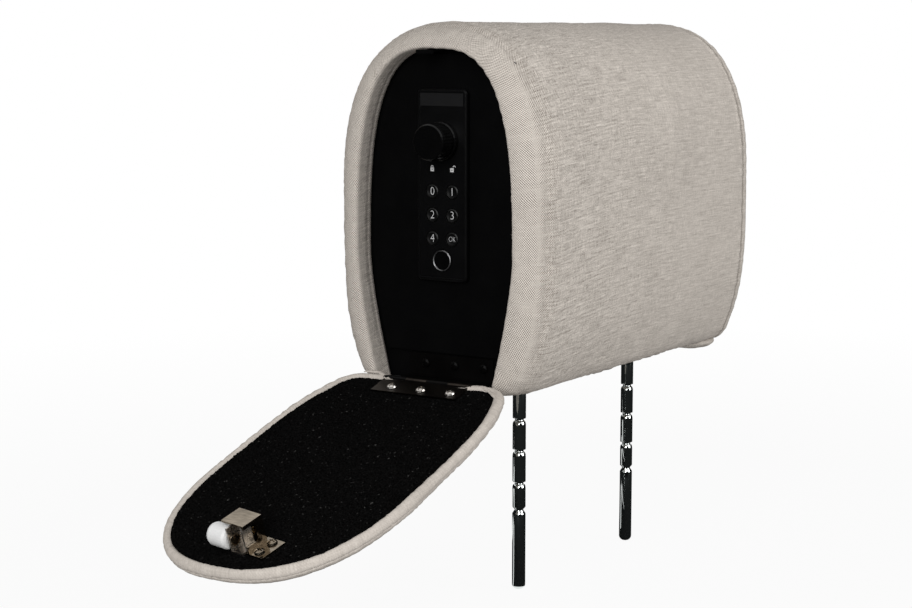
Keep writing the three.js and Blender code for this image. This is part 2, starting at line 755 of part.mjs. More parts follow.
const plateFront = housingFaceDepth - seatGap - drawerPlate;
const plateBack = housingFaceDepth - seatGap;

function drawerFront() {
  const plate = openingSweep(-drawerInset, plateFront, plateBack, drawerSillHeight);
  const hole = turnedAlongX(rod(spindleRadius + runningGap, plateFront - cutOverrun, plateBack + cutOverrun),
    smallSides, 0, knobHeight);
  const relief = block(plateFront - cutOverrun, plateBack + cutOverrun,
    strikeMiddle - strikeWidth / 2 - runningGap, strikeMiddle + strikeWidth / 2 + runningGap,
    openingTop - strikeDrop - strikeLip - runningGap, openingTop);
  return plate.subtract(hole).subtract(relief);
}

const trayFrontX = housingFaceDepth;
const trayTop = trayFloorHeight + trayWallHeight;

function drawerTray() {
  const end = trayFrontX + trayLength;
  const outer = block(trayFrontX, end, -trayHalfWidth, trayHalfWidth, trayFloorHeight, trayTop);
  const inner = trayHalfWidth - traySheet;
  const inside = block(trayFrontX + traySheet, end - traySheet, -inner, inner, trayFloorHeight + traySheet, trayTop + cutOverrun);
  const lowFront = block(trayFrontX - cutOverrun, trayFrontX + lockDepth + lockWall, -inner, inner,
    lockBottom - lockTrayRoom, trayTop + cutOverrun);
  return outer.subtract(inside).subtract(lowFront);
}

function trayLiner() {
  const margin = traySheet + seatGap;
  const half = trayHalfWidth - margin;
  const floor = trayFloorHeight + margin;
  return block(trayFrontX + margin, trayFrontX + trayLength - margin, -half, half, floor, floor + trayLinerThickness);
}

// One channel of a slide: a web and two flanges, from the web's outer face towards the open side
function channel(webY, openY, z0, z1) {
  const sheet = Math.sign(openY - webY) * railSheet;
  const x0 = railStart;
  const x1 = railStart + railLength;
  const ordered = (a, b) => [Math.min(a, b), Math.max(a, b)];
  const web = block(x0, x1, ...ordered(webY, webY + sheet), z0, z1);
  const lower = block(x0, x1, ...ordered(webY, openY), z0, z0 + railSheet);
  const upper = block(x0, x1, ...ordered(webY, openY), z1 - railSheet, z1);
  return web.add(lower).add(upper);
}

const railStart = housingFaceDepth + housingWall + 2 * seatGap;
const railInnerY = trayHalfWidth + seatGap;
const railOuterY = railInnerY + railWidth;
const railStep = railSheet + runningGap;

function railOuter(side) {
  const z1 = railBottomHeight + railHeight;
  const rail = channel(side * railOuterY, side * (railInnerY + 2 * railStep), railBottomHeight, z1);
  const floor = housingFloorHeight + housingWall + seatGap;
  const ys = [side * (railOuterY - railSheet), side * railOuterY].sort((a, b) => a - b);
  const leg = block(railStart, railStart + railLength, ...ys, floor, railBottomHeight + railSheet);
  const footYs = [side * (railOuterY - railSheet), side * (railOuterY + railFootWidth)].sort((a, b) => a - b);
  const foot = block(railStart, railStart + railLength, ...footYs, floor, floor + railSheet);
  return rail.add(leg).add(foot);
}

function railMiddle(side) {
  const z0 = railBottomHeight + railStep;
  const z1 = railBottomHeight + railHeight - railStep;
  return channel(side * (railOuterY - railStep), side * (railInnerY + railStep), z0, z1);
}

function railInner(side) {
  const z0 = railBottomHeight + 2 * railStep;
  const z1 = railBottomHeight + railHeight - 2 * railStep;
  return channel(side * railInnerY, side * (railOuterY - 2 * railStep), z0, z1);
}

// Keypad panel

const keypadBack = plateFront - seatGap;
const keypadFront = keypadBack - keypadThickness;
const keypadFace = keypadFront + keypadFaceDepth;
const keypadTop = keypadBottom + keypadHeight;
const keypadMiddle = (keypadBottom + keypadTop) / 2;
const sensorHeight = keyTopRow - 2 * keyPitch - sensorDrop;

const keyPlaces = ['key_0', 'key_1', 'key_2', 'key_3', 'key_4', 'key_ok'].map((name, i) => ({
  name,
  y: (i % 2 === 0 ? 1 : -1) * (keyPitch / 2),
  z: keyTopRow - Math.floor(i / 2) * keyPitch,
}));

function roundedPanel(halfWidth, height, radius) {
  const shape = new THREE.Shape();
  const [w, h] = [halfWidth - radius, height / 2 - radius];
  shape.absarc(w, h, radius, 0, Math.PI / 2);
  shape.absarc(-w, h, radius, Math.PI / 2, Math.PI);
  shape.absarc(-w, -h, radius, Math.PI, 1.5 * Math.PI);
  shape.absarc(w, -h, radius, 1.5 * Math.PI, 2 * Math.PI);
  return new THREE.Shape(shape.extractPoints(edgeSteps).shape);
}

function keypadHousing() {
  const shape = roundedPanel(keypadHalfWidth - keypadBevel, keypadHeight - 2 * keypadBevel, keypadCorner);
  const geometry = new THREE.ExtrudeGeometry(shape, {
    depth: keypadThickness, bevelEnabled: true, bevelThickness: keypadBevel, bevelSize: keypadBevel, bevelSegments: 1 });
  geometry.applyMatrix4(sweepAlongX);
  geometry.translate(keypadFront + keypadBevel, 0, keypadMiddle);
  const behind = block(keypadBack, keypadBack + keypadThickness + cutOverrun,
    -keypadHalfWidth, keypadHalfWidth, keypadBottom, keypadTop);
  let panel = solidOf(geometry).subtract(behind);
  const face = roundedPanel(keypadHalfWidth - keypadBorder, keypadHeight - 2 * keypadBorder, keypadCorner / 2);
  panel = panel.subtract(sweep(face, keypadFront - cutOverrun, keypadFace).translate([0, 0, keypadMiddle]));
  for (const { y, z } of keyPlaces) {
    const well = turnedAlongX(rod(keyRadius + runningGap, keypadFront, keypadFace + keyWell), roundSides, y, z);
    panel = panel.subtract(well);
  }
  const ring = turnedAlongX(rod(sensorRingRadius + seatGap, keypadFront, keypadFace + keyWell), roundSides, 0, sensorHeight);
  const shaft = turnedAlongX(rod(spindleRadius + runningGap, keypadFront - cutOverrun, keypadBack + cutOverrun),
    smallSides, 0, knobHeight);
  return panel.subtract(ring).subtract(shaft);
}

const keyWell = keyThickness + keyTravel + seatGap;

function labelStrip() {
  const half = keypadHalfWidth - keypadBorder - 2 * seatGap;
  const top = keypadTop - keypadBorder - 2 * seatGap;
  return block(keypadFace - seatGap / 2 - labelThickness, keypadFace - seatGap / 2, -half, half, top - labelHeight, top);
}

// A round key whose face is dished
function keyCap(y, z) {
  const front = keypadFace - seatGap;
  const dish = 3;
  const profile = [];
  for (let i = 0; i <= dish; i++) {
    const share = i / dish;
    profile.push([share * (keyRadius - keyDish), front + keyDish * (1 - share ** 2)]);
  }
  profile.push([keyRadius, front + keyDish / 2], [keyRadius, front + keyThickness], [0, front + keyThickness]);
  return turnedAlongX(profile, roundSides, y, z);
}

function sensorRing() {
  const from = keypadFace - sensorRingRise;
  const to = keypadFace + keyWell - seatGap;
  const inner = sensorRadius + seatGap;
  const profile = [[inner, from + sensorRingRise / 2], [sensorRingRadius - sensorRingRise, from],
    [sensorRingRadius, from + sensorRingRise], [sensorRingRadius, to], [inner, to], [inner, from + sensorRingRise / 2]];
  return turnedAlongX(profile, fineSides, 0, sensorHeight);
}

function sensorPad() {
  return turnedAlongX(rod(sensorRadius, keypadFace, keypadFace + keyWell - seatGap), roundSides, 0, sensorHeight);
}

// Knob, collar and the bolt work that the knob drives

const collarBack = keypadFace - seatGap;
const collarFront = collarBack - collarLength;
const knobBack = collarFront - runningGap;
const knobFront = knobBack - knobLength;

function knobCollar() {
  const inner = spindleRadius + runningGap;
  const profile = [[inner, collarFront], [collarRadius - collarBevel, collarFront],
    [collarRadius, collarFront + collarBevel], [collarRadius, collarBack], [inner, collarBack], [inner, collarFront]];
  return turnedAlongX(profile, fineSides, 0, knobHeight);
}

// The grip is a fluted sweep between a smooth foot and a smooth, bevelled face
function knob() {
  const flutes = [];
  for (let i = 0; i < 2 * knobGrooves; i++) {
    const angle = (i / (2 * knobGrooves)) * 2 * Math.PI;
    const radius = knobRadius - (i % 2) * knobGrooveDepth;
    flutes.push(new THREE.Vector2(radius * Math.cos(angle), radius * Math.sin(angle)));
  }
  const gripEnd = knobBack - (knobLength * (1 - knobGripShare)) / 2;
  const gripStart = gripEnd - knobLength * knobGripShare;
  const grip = sweep(new THREE.Shape(flutes), gripStart, gripEnd).translate([0, 0, knobHeight]);
  const smooth = knobRadius - knobGrooveDepth;
  const core = turnedAlongX([[0, knobFront], [smooth - knobFaceBevel, knobFront], [smooth, knobFront + knobFaceBevel],
    [smooth, knobBack], [0, knobBack]], knobGrooves, 0, knobHeight);
  const socket = turnedAlongX(rod(spindleRadius + seatGap, (knobFront + knobBack) / 2, knobBack + cutOverrun),
    smallSides, 0, knobHeight);
  return core.add(grip).subtract(socket);
}

const camFront = plateBack + camDepth;
const camBack = camFront + camThickness;
const boltFront = camBack + seatGap;
const boltBack = boltFront + boltThickness;
const camPinOrbit = boltTravel / Math.SQRT2;

// Spindle with the cam and its two pins, which stand 45 degrees off upright while unlocked.
// One notch in the cam faces the plunger while the bolts are back, the other while they are out.
function knobSpindle() {
  const shaft = turnedAlongX(rod(spindleRadius, (knobFront + knobBack) / 2 + seatGap, camFront + camThickness / 2),
    smallSides, 0, knobHeight);
  let spindle = shaft.add(turnedAlongX(rod(camRadius, camFront, camBack), fineSides, 0, knobHeight));
  for (const side of [1, -1]) {
    const offset = side * camPinOrbit * Math.SQRT1_2;
    const pin = turnedAlongX(rod(camPinRadius, camFront + camThickness / 2, boltBack + seatGap), smallSides,
      -offset, knobHeight + offset);
    spindle = spindle.add(pin);
  }
  const notchOrbit = camRadius + plungerRadius - camNotchDepth;
  for (const [y, z] of [[0, notchOrbit], [-notchOrbit, 0]]) {
    const notch = rod(plungerRadius + runningGap, camFront - cutOverrun, camBack + cutOverrun);
    spindle = spindle.subtract(turnedAlongX(notch, smallSides, y, knobHeight + z));
  }
  return spindle;
}

// Each bolt is a bar with an upright slot for its pin, so that it moves while the pin turns
function slideBolt(side) {
  const pinY = -camPinOrbit * Math.SQRT1_2;
  const bar = block(boltFront, boltBack, pinY - camPinRadius - camSlotMargin - camEdgeMargin, boltTip,
    boltSplit, boltSplit + boltHeight);
  const slotHalf = camPinRadius + camSlotMargin;
  const slotBottom = camPinOrbit * Math.SQRT1_2 - slotHalf;
  const slotTop = camPinOrbit + slotHalf;
  const slot = block(boltFront - cutOverrun, boltBack + cutOverrun, pinY - slotHalf, pinY + slotHalf, slotBottom, slotTop);
  const bolt = bar.subtract(slot);
  const turnedRound = side > 0 ? bolt : bolt.rotate([180, 0, 0]);
  return turnedRound.translate([0, 0, knobHeight]);
}

function lockCover() {
  const x0 = plateBack + seatGap;
  const x1 = x0 + lockDepth;
  const inner = lockHalfWidth - lockWall;
  const outer = block(x0, x1, -lockHalfWidth, lockHalfWidth, lockBottom, lockTop);
  const inside = block(x0 - cutOverrun, x1 - lockWall, -inner, inner, lockBottom + lockWall, lockTop - lockWall);
  const reach = boltSplit + boltHeight + runningGap;
  const slots = block(boltFront - runningGap, boltBack + runningGap, -lockHalfWidth - cutOverrun,
    lockHalfWidth + cutOverrun, knobHeight - reach, knobHeight + reach);
  return outer.subtract(inside).subtract(slots);
}

const lockInnerFront = plateBack + 2 * seatGap;
const lockInnerBack = plateBack + seatGap + lockDepth - lockWall - seatGap;

function controlBoard() {
  const z0 = knobHeight - boardUnderKnob - boardHeight / 2;
  return block(lockInnerFront, lockInnerFront + boardThickness, -boardWidth / 2, boardWidth / 2, z0, z0 + boardHeight);
}

function batteryBox() {
  const z0 = lockBottom + lockWall + seatGap;
  return block(lockInnerBack - batteryDepth, lockInnerBack, -batteryWidth / 2, batteryWidth / 2, z0, z0 + batteryHeight);
}

// The solenoid stands over the cam, and its plunger drops into the cam's notch
const camMiddle = (camFront + camBack) / 2;
const plungerTip = knobHeight + camRadius + runningGap;

function lockSolenoid() {
  const foot = knobHeight + boltSplit + boltHeight + 2 * runningGap;
  const body = turned(rod(solenoidRadius, 0, solenoidLength), roundSides);
  const bore = turned(rod(plungerRadius + runningGap, -cutOverrun, plungerLength + plungerTravel), smallSides);
  return body.subtract(bore).translate([camMiddle, 0, foot]);
}

function solenoidPlunger() {
  return turned(rod(plungerRadius, 0, plungerLength), smallSides).translate([camMiddle, 0, plungerTip]);
}

// Assembly

function buildBody(group) {
  const [wrap, endPanel] = splitAtSeam(clothShell());
  addPiece(group, 'cover_wrap', wrap, materials.cloth);
  addPiece(group, 'cover_end_panel', endPanel, materials.cloth);
  addPiece(group, 'foam_body', foamBody(), materials.foam);
  addPiece(group, 'steel_housing', steelHousing(), materials.blackSteel);
  addPiece(group, 'post_carrier', postCarrier(), materials.zinc);
  ['front', 'rear'].forEach((place, i) => {
    const post = turned(postProfile(), roundSides).translate([postX[i], -postSetback, 0]);
    addPiece(group, `post_${place}`, post, materials.chrome);
    const nutBase = carrierPlateHeight + carrierPlate + seatGap;
    const nut = hexNut(postNutAcross, postNutHeight, postStudDiameter / 2 + seatGap);
    addPiece(group, `post_nut_${place}`, nut.translate([postX[i], -postSetback, nutBase]), materials.zinc);
  });
  addPiece(group, 'catch_strike', catchStrike(), materials.blackSteel);
  for (const [side, name] of [[1, 'left'], [-1, 'right']]) {
    addPiece(group, `rail_outer_${name}`, railOuter(side), materials.zinc);
    addPiece(group, `rail_middle_${name}`, railMiddle(side), materials.zinc);
    addPiece(group, `rail_inner_${name}`, railInner(side), materials.zinc);
  }
}

function buildDrawer(group) {
  addPiece(group, 'drawer_front', drawerFront(), materials.blackSteel);
  addPiece(group, 'drawer_tray', drawerTray(), materials.blackSteel);
  addPiece(group, 'tray_liner', trayLiner(), materials.foam);
  addPiece(group, 'keypad_housing', keypadHousing(), materials.blackPlastic);
  addPiece(group, 'label_strip', labelStrip(), materials.greyPlastic);
  for (const { name, y, z } of keyPlaces) addPiece(group, name, keyCap(y, z), materials.blackPlastic);
  addPiece(group, 'fingerprint_ring', sensorRing(), materials.zinc);
  addPiece(group, 'fingerprint_sensor', sensorPad(), materials.greyPlastic);
  addPiece(group, 'knob_collar', knobCollar(), materials.blackPlastic);
  addPiece(group, 'knob', knob(), materials.blackPlastic);
  addPiece(group, 'knob_spindle', knobSpindle(), materials.zinc);
  addPiece(group, 'bolt_left', slideBolt(1), materials.zinc);
  addPiece(group, 'bolt_right', slideBolt(-1), materials.zinc);
  addPiece(group, 'lock_cover', lockCover(), materials.blackSteel);
  addPiece(group, 'control_board', controlBoard(), materials.circuit);
  addPiece(group, 'battery_box', batteryBox(), materials.blackPlastic);
  addPiece(group, 'lock_solenoid', lockSolenoid(), materials.zinc);
  addPiece(group, 'solenoid_plunger', solenoidPlunger(), materials.zinc);
}

function buildHinge(body, flap) {
  const fixed = new THREE.Group();
  fixed.position.set(-hingeReach, 0, hingeHeight);
  body.add(fixed);
  addPiece(fixed, 'hinge_body_leaf', hingeBodyLeaf(), materials.blackSteel);
  addPiece(fixed, 'hinge_pin', hingePin(), materials.zinc);
  hingeScrewYs.forEach((y, i) => {
    const screw = addPiece(fixed, `hinge_body_screw_${i + 1}`, panScrew(hingeLeafThickness), materials.blackSteel);
    screw.rotation.y = Math.PI / 2;
    screw.position.set(bracketFace - hingeLeafThickness - seatGap, y, hingeBodyScrewRise);
  });
  addPiece(flap, 'hinge_flap_leaf', hingeFlapLeaf(), materials.zinc);
  hingeScrewYs.forEach((y, i) => {
    const screw = addPiece(flap, `hinge_flap_screw_${i + 1}`, panScrew(screwShankLength), materials.zinc);
    screw.rotation.y = -Math.PI / 2;
    screw.position.set(seatGap + hingeLeafThickness + seatGap, y, hingeFlapScrewOffset);
  });
}

function buildCatch(flap) {
  const roller = new THREE.Group();
  roller.position.set(0, catchAcross, catchAlong);
  roller.rotation.x = (catchTurn * Math.PI) / 180;
  flap.add(roller);
  addPiece(roller, 'catch_bracket', catchBracket(), materials.nickel);
  catchScrewZs.forEach((z, i) => {
    const screw = addPiece(roller, `catch_screw_${i + 1}`, panScrew(catchSheet), materials.nickel);
    screw.rotation.y = -Math.PI / 2;
    screw.position.set(seatGap + catchSheet + seatGap, catchScrewY, z);
  });
  addPiece(roller, 'catch_slider', catchSlider(), materials.nickel);
  addPiece(roller, 'catch_axle', turnedAlongY(axleProfile(), smallSides, rollerRise, rollerAlong), materials.nickel);
  addPiece(roller, 'catch_roller', turnedAlongY(rollerProfile(), fineSides, rollerRise, rollerAlong), materials.nylon);
  addPiece(roller, 'catch_spring', catchSpring(), materials.nickel);
}

const safe = new THREE.Group();
const body = new THREE.Group();
body.position.set(-bodyLength / 2, postSetback, 0);
safe.add(body);

const flap = new THREE.Group();
flap.position.set(-hingeReach, 0, hingeHeight);
flap.rotation.y = (-flapOpenAngle * Math.PI) / 180;
body.add(flap);

buildBody(body);
buildDrawer(body);
buildHinge(body, flap);
addPiece(flap, 'flap_cover', flapCover(), materials.cloth);
addPiece(flap, 'flap_board', flapLayer(-flapLiningThickness - seatGap, flapBoardThickness), materials.board);
addPiece(flap, 'flap_lining', flapLayer(0, flapLiningThickness), materials.carpet);
buildCatch(flap);

export default safe;
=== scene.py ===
# %% [markdown]
# A car safe built into a padded head restraint: linen-look cloth over foam, a black drawer front
# with a keypad and a turn knob, a padded flap on a hinge, and two chrome posts.
# The engineering model gives every size. This lesson dresses it: cloth is lofted, metal is turned
# and bevelled, and every surface gets a finish made from nodes.

# %% Load the engineering model as a fixed frame
import bpy
import math
from bisect import bisect_right
from contextlib import contextmanager
from mathutils import Matrix, Vector, noise
from mathutils.bvhtree import BVHTree


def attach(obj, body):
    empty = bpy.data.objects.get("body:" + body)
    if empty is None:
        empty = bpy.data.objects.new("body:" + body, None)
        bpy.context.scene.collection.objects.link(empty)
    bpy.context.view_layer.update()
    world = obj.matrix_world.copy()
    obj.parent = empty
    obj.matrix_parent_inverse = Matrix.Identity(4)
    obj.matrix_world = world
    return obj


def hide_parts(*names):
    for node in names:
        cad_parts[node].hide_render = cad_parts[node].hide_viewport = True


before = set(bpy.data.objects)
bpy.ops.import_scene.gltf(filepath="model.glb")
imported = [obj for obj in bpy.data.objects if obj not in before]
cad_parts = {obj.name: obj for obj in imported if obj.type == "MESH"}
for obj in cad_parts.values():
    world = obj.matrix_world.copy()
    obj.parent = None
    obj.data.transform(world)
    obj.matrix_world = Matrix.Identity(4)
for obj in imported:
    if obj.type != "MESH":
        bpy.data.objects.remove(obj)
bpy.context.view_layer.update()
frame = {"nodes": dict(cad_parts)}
nodes = frame["nodes"]
MM = 0.001

# %% [markdown]
# The model is described in three simple frames. The body's frame has its origin at the rim of the
# open end, the flap's at its hinge, and the catch's on the flap. A matrix takes each to the row.

# %% Frames of the body, the flap and the catch
BODY_LENGTH = 346.4
HALF_LENGTH = BODY_LENGTH / 2
POST_SETBACK = 19
HINGE_REACH = 10.8
HINGE_HEIGHT = 7.8
FLAP_OPEN = 109
CATCH_ALONG, CATCH_ACROSS, CATCH_TURN = 214.8, -6, -9

body_frame = Matrix.Translation(Vector((-HALF_LENGTH, POST_SETBACK, 0)) * MM) @ Matrix.Scale(MM, 4)
hinge_frame = body_frame @ Matrix.Translation((-HINGE_REACH, 0, HINGE_HEIGHT))
flap_frame = hinge_frame @ Matrix.Rotation(math.radians(-FLAP_OPEN), 4, "Y")
catch_frame = (flap_frame @ Matrix.Translation((0, CATCH_ACROSS, CATCH_ALONG))
               @ Matrix.Rotation(math.radians(CATCH_TURN), 4, "X"))

# %% [markdown]
# The camera stands where the photographer stood: in front of the open end, a little to one side,
# and 8 degrees above the level.

# %% Camera
CAMERA_PLACE = Vector((-1297.4, -731.3, 250.6)) * MM
CAMERA_TURN, CAMERA_DIP = math.radians(57.01), math.radians(7.94)
SENSOR_WIDTH, LENS = 36, 76.7
forward = Vector((math.sin(CAMERA_TURN) * math.cos(CAMERA_DIP),
                  math.cos(CAMERA_TURN) * math.cos(CAMERA_DIP), -math.sin(CAMERA_DIP)))
camera_data = bpy.data.cameras.new("camera")
camera_data.sensor_width, camera_data.lens = SENSOR_WIDTH, LENS
camera = bpy.data.objects.new("camera", camera_data)
facing_object = forward.to_track_quat("-Z", "Y").to_matrix().to_4x4()
camera.matrix_world = Matrix.Translation(CAMERA_PLACE) @ facing_object
bpy.context.scene.collection.objects.link(camera)
bpy.context.scene.camera = camera
print("camera looks along", tuple(round(v, 3) for v in forward))

# %% [markdown]
# Surface sums are written as Python. A Wire holds one socket, and adding, multiplying or comparing
# wires adds the Math nodes. One method, node, makes every other kind of node. A Finish is a
# material, and the surround of the stage uses the same nodes.

# %% Wires and finishes
class Wire:
    def __init__(self, nodes, socket):
        self.nodes, self.socket = nodes, socket

    def maths(self, operation, *values):
        return self.nodes.node("ShaderNodeMath", {"operation": operation}, dict(enumerate(values)))

    def out(self, name):
        return Wire(self.nodes, self.socket.node.outputs[name])

    def __add__(self, other):
        return self.maths("ADD", self, other)

    def __sub__(self, other):
        return self.maths("SUBTRACT", self, other)

    def __rsub__(self, other):
        return self.maths("SUBTRACT", other, self)

    def __mul__(self, other):
        return self.maths("MULTIPLY", self, other)

    def __truediv__(self, other):
        return self.maths("DIVIDE", self, other)

    def sine(self):
        return self.maths("SINE", self)

    def size(self):
        return self.maths("ABSOLUTE", self)

    def over(self, low, high):
        """0 below low, 1 above high, with a straight slope between."""
        return self.nodes.node("ShaderNodeMapRange", {"clamp": True},
                               {"Value": self, "From Min": low, "From Max": high})


class Nodes:
    def __init__(self, tree):
        self.tree = tree

    def feed(self, socket, value):
        if isinstance(value, Wire):
            self.tree.links.new(value.socket, socket)
        elif isinstance(value, tuple) and len(value) == 3 and socket.type == "RGBA":
            socket.default_value = (*value, 1)
        else:
            socket.default_value = value

    def node(self, kind, settings=None, values=None):
        made = self.tree.nodes.new(kind)
        for key, value in (settings or {}).items():
            setattr(made, key, value)
        for key, value in (values or {}).items():
            self.feed(made.inputs[key], value)
        return Wire(self, [o for o in made.outputs if o.enabled][0])

    def seen(self):
        """1 for what the camera sees, also in a mirror or through glass, and 0 for what gives light."""
        path = self.node("ShaderNodeLightPath")
        seen = path.out("Is Camera Ray")
        for kind in ("Is Glossy Ray", "Is Transmission Ray"):
            seen = seen.maths("MAXIMUM", seen, path.out(kind))
        return seen


class Finish(Nodes):
    def __init__(self, name, **fixed):
        self.material = bpy.data.materials.new(name)
        self.material.use_nodes = True
        super().__init__(self.material.node_tree)
        self.shader = self.tree.nodes["Principled BSDF"]
        self.set(**fixed)

    def place(self):
        return self.node("ShaderNodeTexCoord").out("Object")

    def stretched(self, coords, factors):
        return self.node("ShaderNodeVectorMath", {"operation": "MULTIPLY"}, {0: coords, 1: factors})

    def grain(self, coords, scale, detail=2, roughness=0.5):
        return self.node("ShaderNodeTexNoise", None,
                         {"Vector": coords, "Scale": scale, "Detail": detail, "Roughness": roughness})

    def blend(self, amount, first, second):
        mix = self.node("ShaderNodeMix", {"data_type": "RGBA"}, {0: amount, 6: first, 7: second})
        return Wire(self, mix.socket.node.outputs[2])

    def set(self, **links):
        for socket, value in links.items():
            self.feed(self.shader.inputs[socket.replace("_", " ")], value)
        return self

    def bump(self, height, distance, strength):
        return self.set(Normal=self.node("ShaderNodeBump", None,
                                         {"Height": height, "Distance": distance, "Strength": strength}))


# %% [markdown]
# The cloth is a greige twill. On the rolled rim its diagonal ribs show, and where the roll ends
# they turn back, as in a herringbone. On the sides long slubs, the thicker stretches of yarn, run
# along the body. The finish reads the piece's own UV map, in metres, so that the threads follow
# the surface round every edge.

# %% Woven cloth
RIB_RUN, RIB_RISE = 1.75 * MM, 1.85 * MM
RIB_TURN = 38 * MM
SIDE_REACH = (38 * MM, 50 * MM)
# Reach of the painted shade on the recess wall, along the profile.
WALL_SHADE_REACH = (-14 * MM, 0 * MM)
WALL_TURN = (8 * MM, 17 * MM)
SLANT_END = 0.2
STITCH_RUN = 354.35 * MM
# Width of the painted shade along the seam's groove.
SEAM_SHADE_REACH = (0.6 * MM, 2.2 * MM)
# Middle, start and end of a band of painted shade on the rim's round.
SHADE_BAND = (49 * MM, 2 * MM, 11 * MM)
THREAD_PITCH = 0.9 * MM
MOUTH_REACH = (13 * MM, 21 * MM)
TURN_REACH = 2.5 * MM
CALM_REACH = (90 * MM, 270 * MM)
WEAVE_DEPTH = 0.16 * MM
FLAX_TONES = (0.165, 0.143, 0.122), (0.775, 0.715, 0.65)
# Darker cloth tones, painted shade for the recess wall.
RECESS_SHADE_TONES = (0.08, 0.07, 0.06), (0.3, 0.275, 0.245)
# Brown of the painted shade in the seam's groove.
SEAM_SHADE_BROWN = (0.11, 0.095, 0.08)


def woven_cloth(name, rim=False, rib_level=0.55, slub_level=1.0):
    cloth = Finish(name, Roughness=0.95, Specular_IOR_Level=0.12)
    uv = cloth.node("ShaderNodeUVMap", {"uv_map": "cloth"})
    parts = cloth.node("ShaderNodeSeparateXYZ", None, {0: uv})
    along, across = parts.out("X"), parts.out("Y")
    slanted = along.maths("MINIMUM", along, SLANT_END)
    level = across + slanted * 0.15 - slanted * slanted * 0.32 if rim else across
    yarn = cloth.node("ShaderNodeCombineXYZ", None, {0: along, 1: level})
    turn = 2 * math.pi
    folded = RIB_TURN - (along - RIB_TURN).size() if rim else along
    wander = (cloth.grain(uv, 60, 1) - 0.5) * 1.4 + (cloth.grain(uv, 260, 1) - 0.5) * 1.8
    patches = cloth.grain(uv, 110, 2).over(0.34, 0.6) * 0.7 + 0.3
    ribs = ((folded / RIB_RUN - across / RIB_RISE) * turn + wander).sine()
    crossing = ((folded / RIB_RUN + across / RIB_RISE) * turn + wander).sine()
    ribs = (ribs + crossing * 0.4) * patches
    threads = (along / THREAD_PITCH * turn).sine() * (across / THREAD_PITCH * turn).sine()
    slubs = cloth.grain(cloth.stretched(yarn, (38, 720, 1)), 1, 1, 0.5) - 0.5
    fine_slubs = cloth.grain(cloth.stretched(yarn, (95, 1400, 1)), 1, 1, 0.5) - 0.5
    cross_slubs = cloth.grain(cloth.stretched(uv, (1200, 130, 1)), 1, 1, 0.5) - 0.5
    specks = cloth.grain(uv, 800, 1) - 0.5
    clouds = (cloth.grain(uv, 16, 3) - 0.5) * 2
    slub_part = (slubs * 1.3 + fine_slubs * 1.3 + cross_slubs * 1.2 + specks * 1.2) * slub_level
    if rim:
        side = along.over(*SIDE_REACH)
        near_edge = along.over(*MOUTH_REACH) * 0.5 + 0.5
        near_edge = near_edge * ((along - RIB_TURN).size().over(0, TURN_REACH) * 0.75 + 0.25)
        calm = 1.0 - along.over(*CALM_REACH) * 0.42
        wall = 1.0 - along.over(*WALL_TURN)
        ribbed = ribs * near_edge * calm * (1.15 - side * 0.75)
        relief = ribbed + slub_part * ((side + wall) * 0.75 + 0.25) * calm
    else:
        relief = ribs * (0.62 * rib_level) + slub_part
    relief = relief + threads * 0.08
    tone = (relief * 0.5 + clouds * 0.08 + 0.5).over(0, 1)
    if rim:
        # Painted shade: the tone is lowered in a band round SHADE_BAND's middle, where the light falls off on
        # the round. Before the side the tone is also a little lower.
        middle, near, far = SHADE_BAND
        tone = tone - (1.0 - side) * 0.035 - (1.0 - (along - middle).size().over(near, far)) * 0.11
    colour = cloth.blend(tone, *FLAX_TONES)
    if rim:
        # Painted shade: darker tones are blended into the recess wall below WALL_SHADE_REACH along the
        # profile, which as set ends at the wall's deep end.
        colour = cloth.blend(along.over(*WALL_SHADE_REACH), cloth.blend(tone, *RECESS_SHADE_TONES), colour)
        # Painted shade in the welt seam's groove: the colour turns half-way to brown along the stitch line.
        seam_shade = 1.0 - (along - STITCH_RUN).size().over(*SEAM_SHADE_REACH)
        colour = cloth.blend(seam_shade * 0.5, colour, SEAM_SHADE_BROWN)
    cloth.set(Base_Color=colour)
    return cloth.bump(relief, WEAVE_DEPTH, 0.7).material


wrap_cloth = woven_cloth("woven_cloth_wrap", rim=True)
panel_cloth = woven_cloth("woven_cloth_panel", rib_level=0.1, slub_level=0.32)
print("woven cloth made")

# %% [markdown]
# The flap is lined with black looped pile, which swallows light: a few scattered loops get a lighter colour,
# a painted glint.

# %% Looped pile
def looped_pile():
    pile = Finish("looped_pile", Roughness=1.0, Specular_IOR_Level=0.0)
    place = pile.place()
    loops = pile.grain(place, 900, 3, 0.7)
    # Painted glints: scattered loops get a lighter base colour.
    painted_glints = pile.grain(place, 420, 1).over(0.7, 0.78)
    colour = pile.blend(loops.over(0.35, 0.7), (0.0003, 0.0003, 0.0003), (0.0075, 0.0073, 0.0072))
    pile.set(Base_Color=pile.blend(painted_glints, colour, (0.045, 0.044, 0.042)))
    return pile.bump(loops, 0.8 * MM, 0.9).material


pile_finish = looped_pile()

# %% [markdown]
# Painted, moulded and plated surfaces share one recipe: two tones mixed by a soft noise, a noise
# for the roughness, and a fine bump for the grain that the process leaves.

# %% Hard finishes
CLOUD_SCALE = 60


def hard_finish(name, tones, roughness, grain_scale, grain_depth,
                metallic=0.0, specular=0.5, stretch=(1, 1, 1)):
    hard = Finish(name, Metallic=metallic, Specular_IOR_Level=specular)
    place = hard.place()
    clouds = hard.grain(place, CLOUD_SCALE, 3)
    grain = hard.grain(hard.stretched(place, stretch), grain_scale)
    hard.set(Base_Color=hard.blend((clouds * 0.6 + grain * 0.4).over(0.3, 0.7), *tones),
             Roughness=(clouds * 0.5 + grain * 0.5) * (roughness[1] - roughness[0]) + roughness[0])
    return hard.bump(grain, grain_depth * MM, 0.6).material


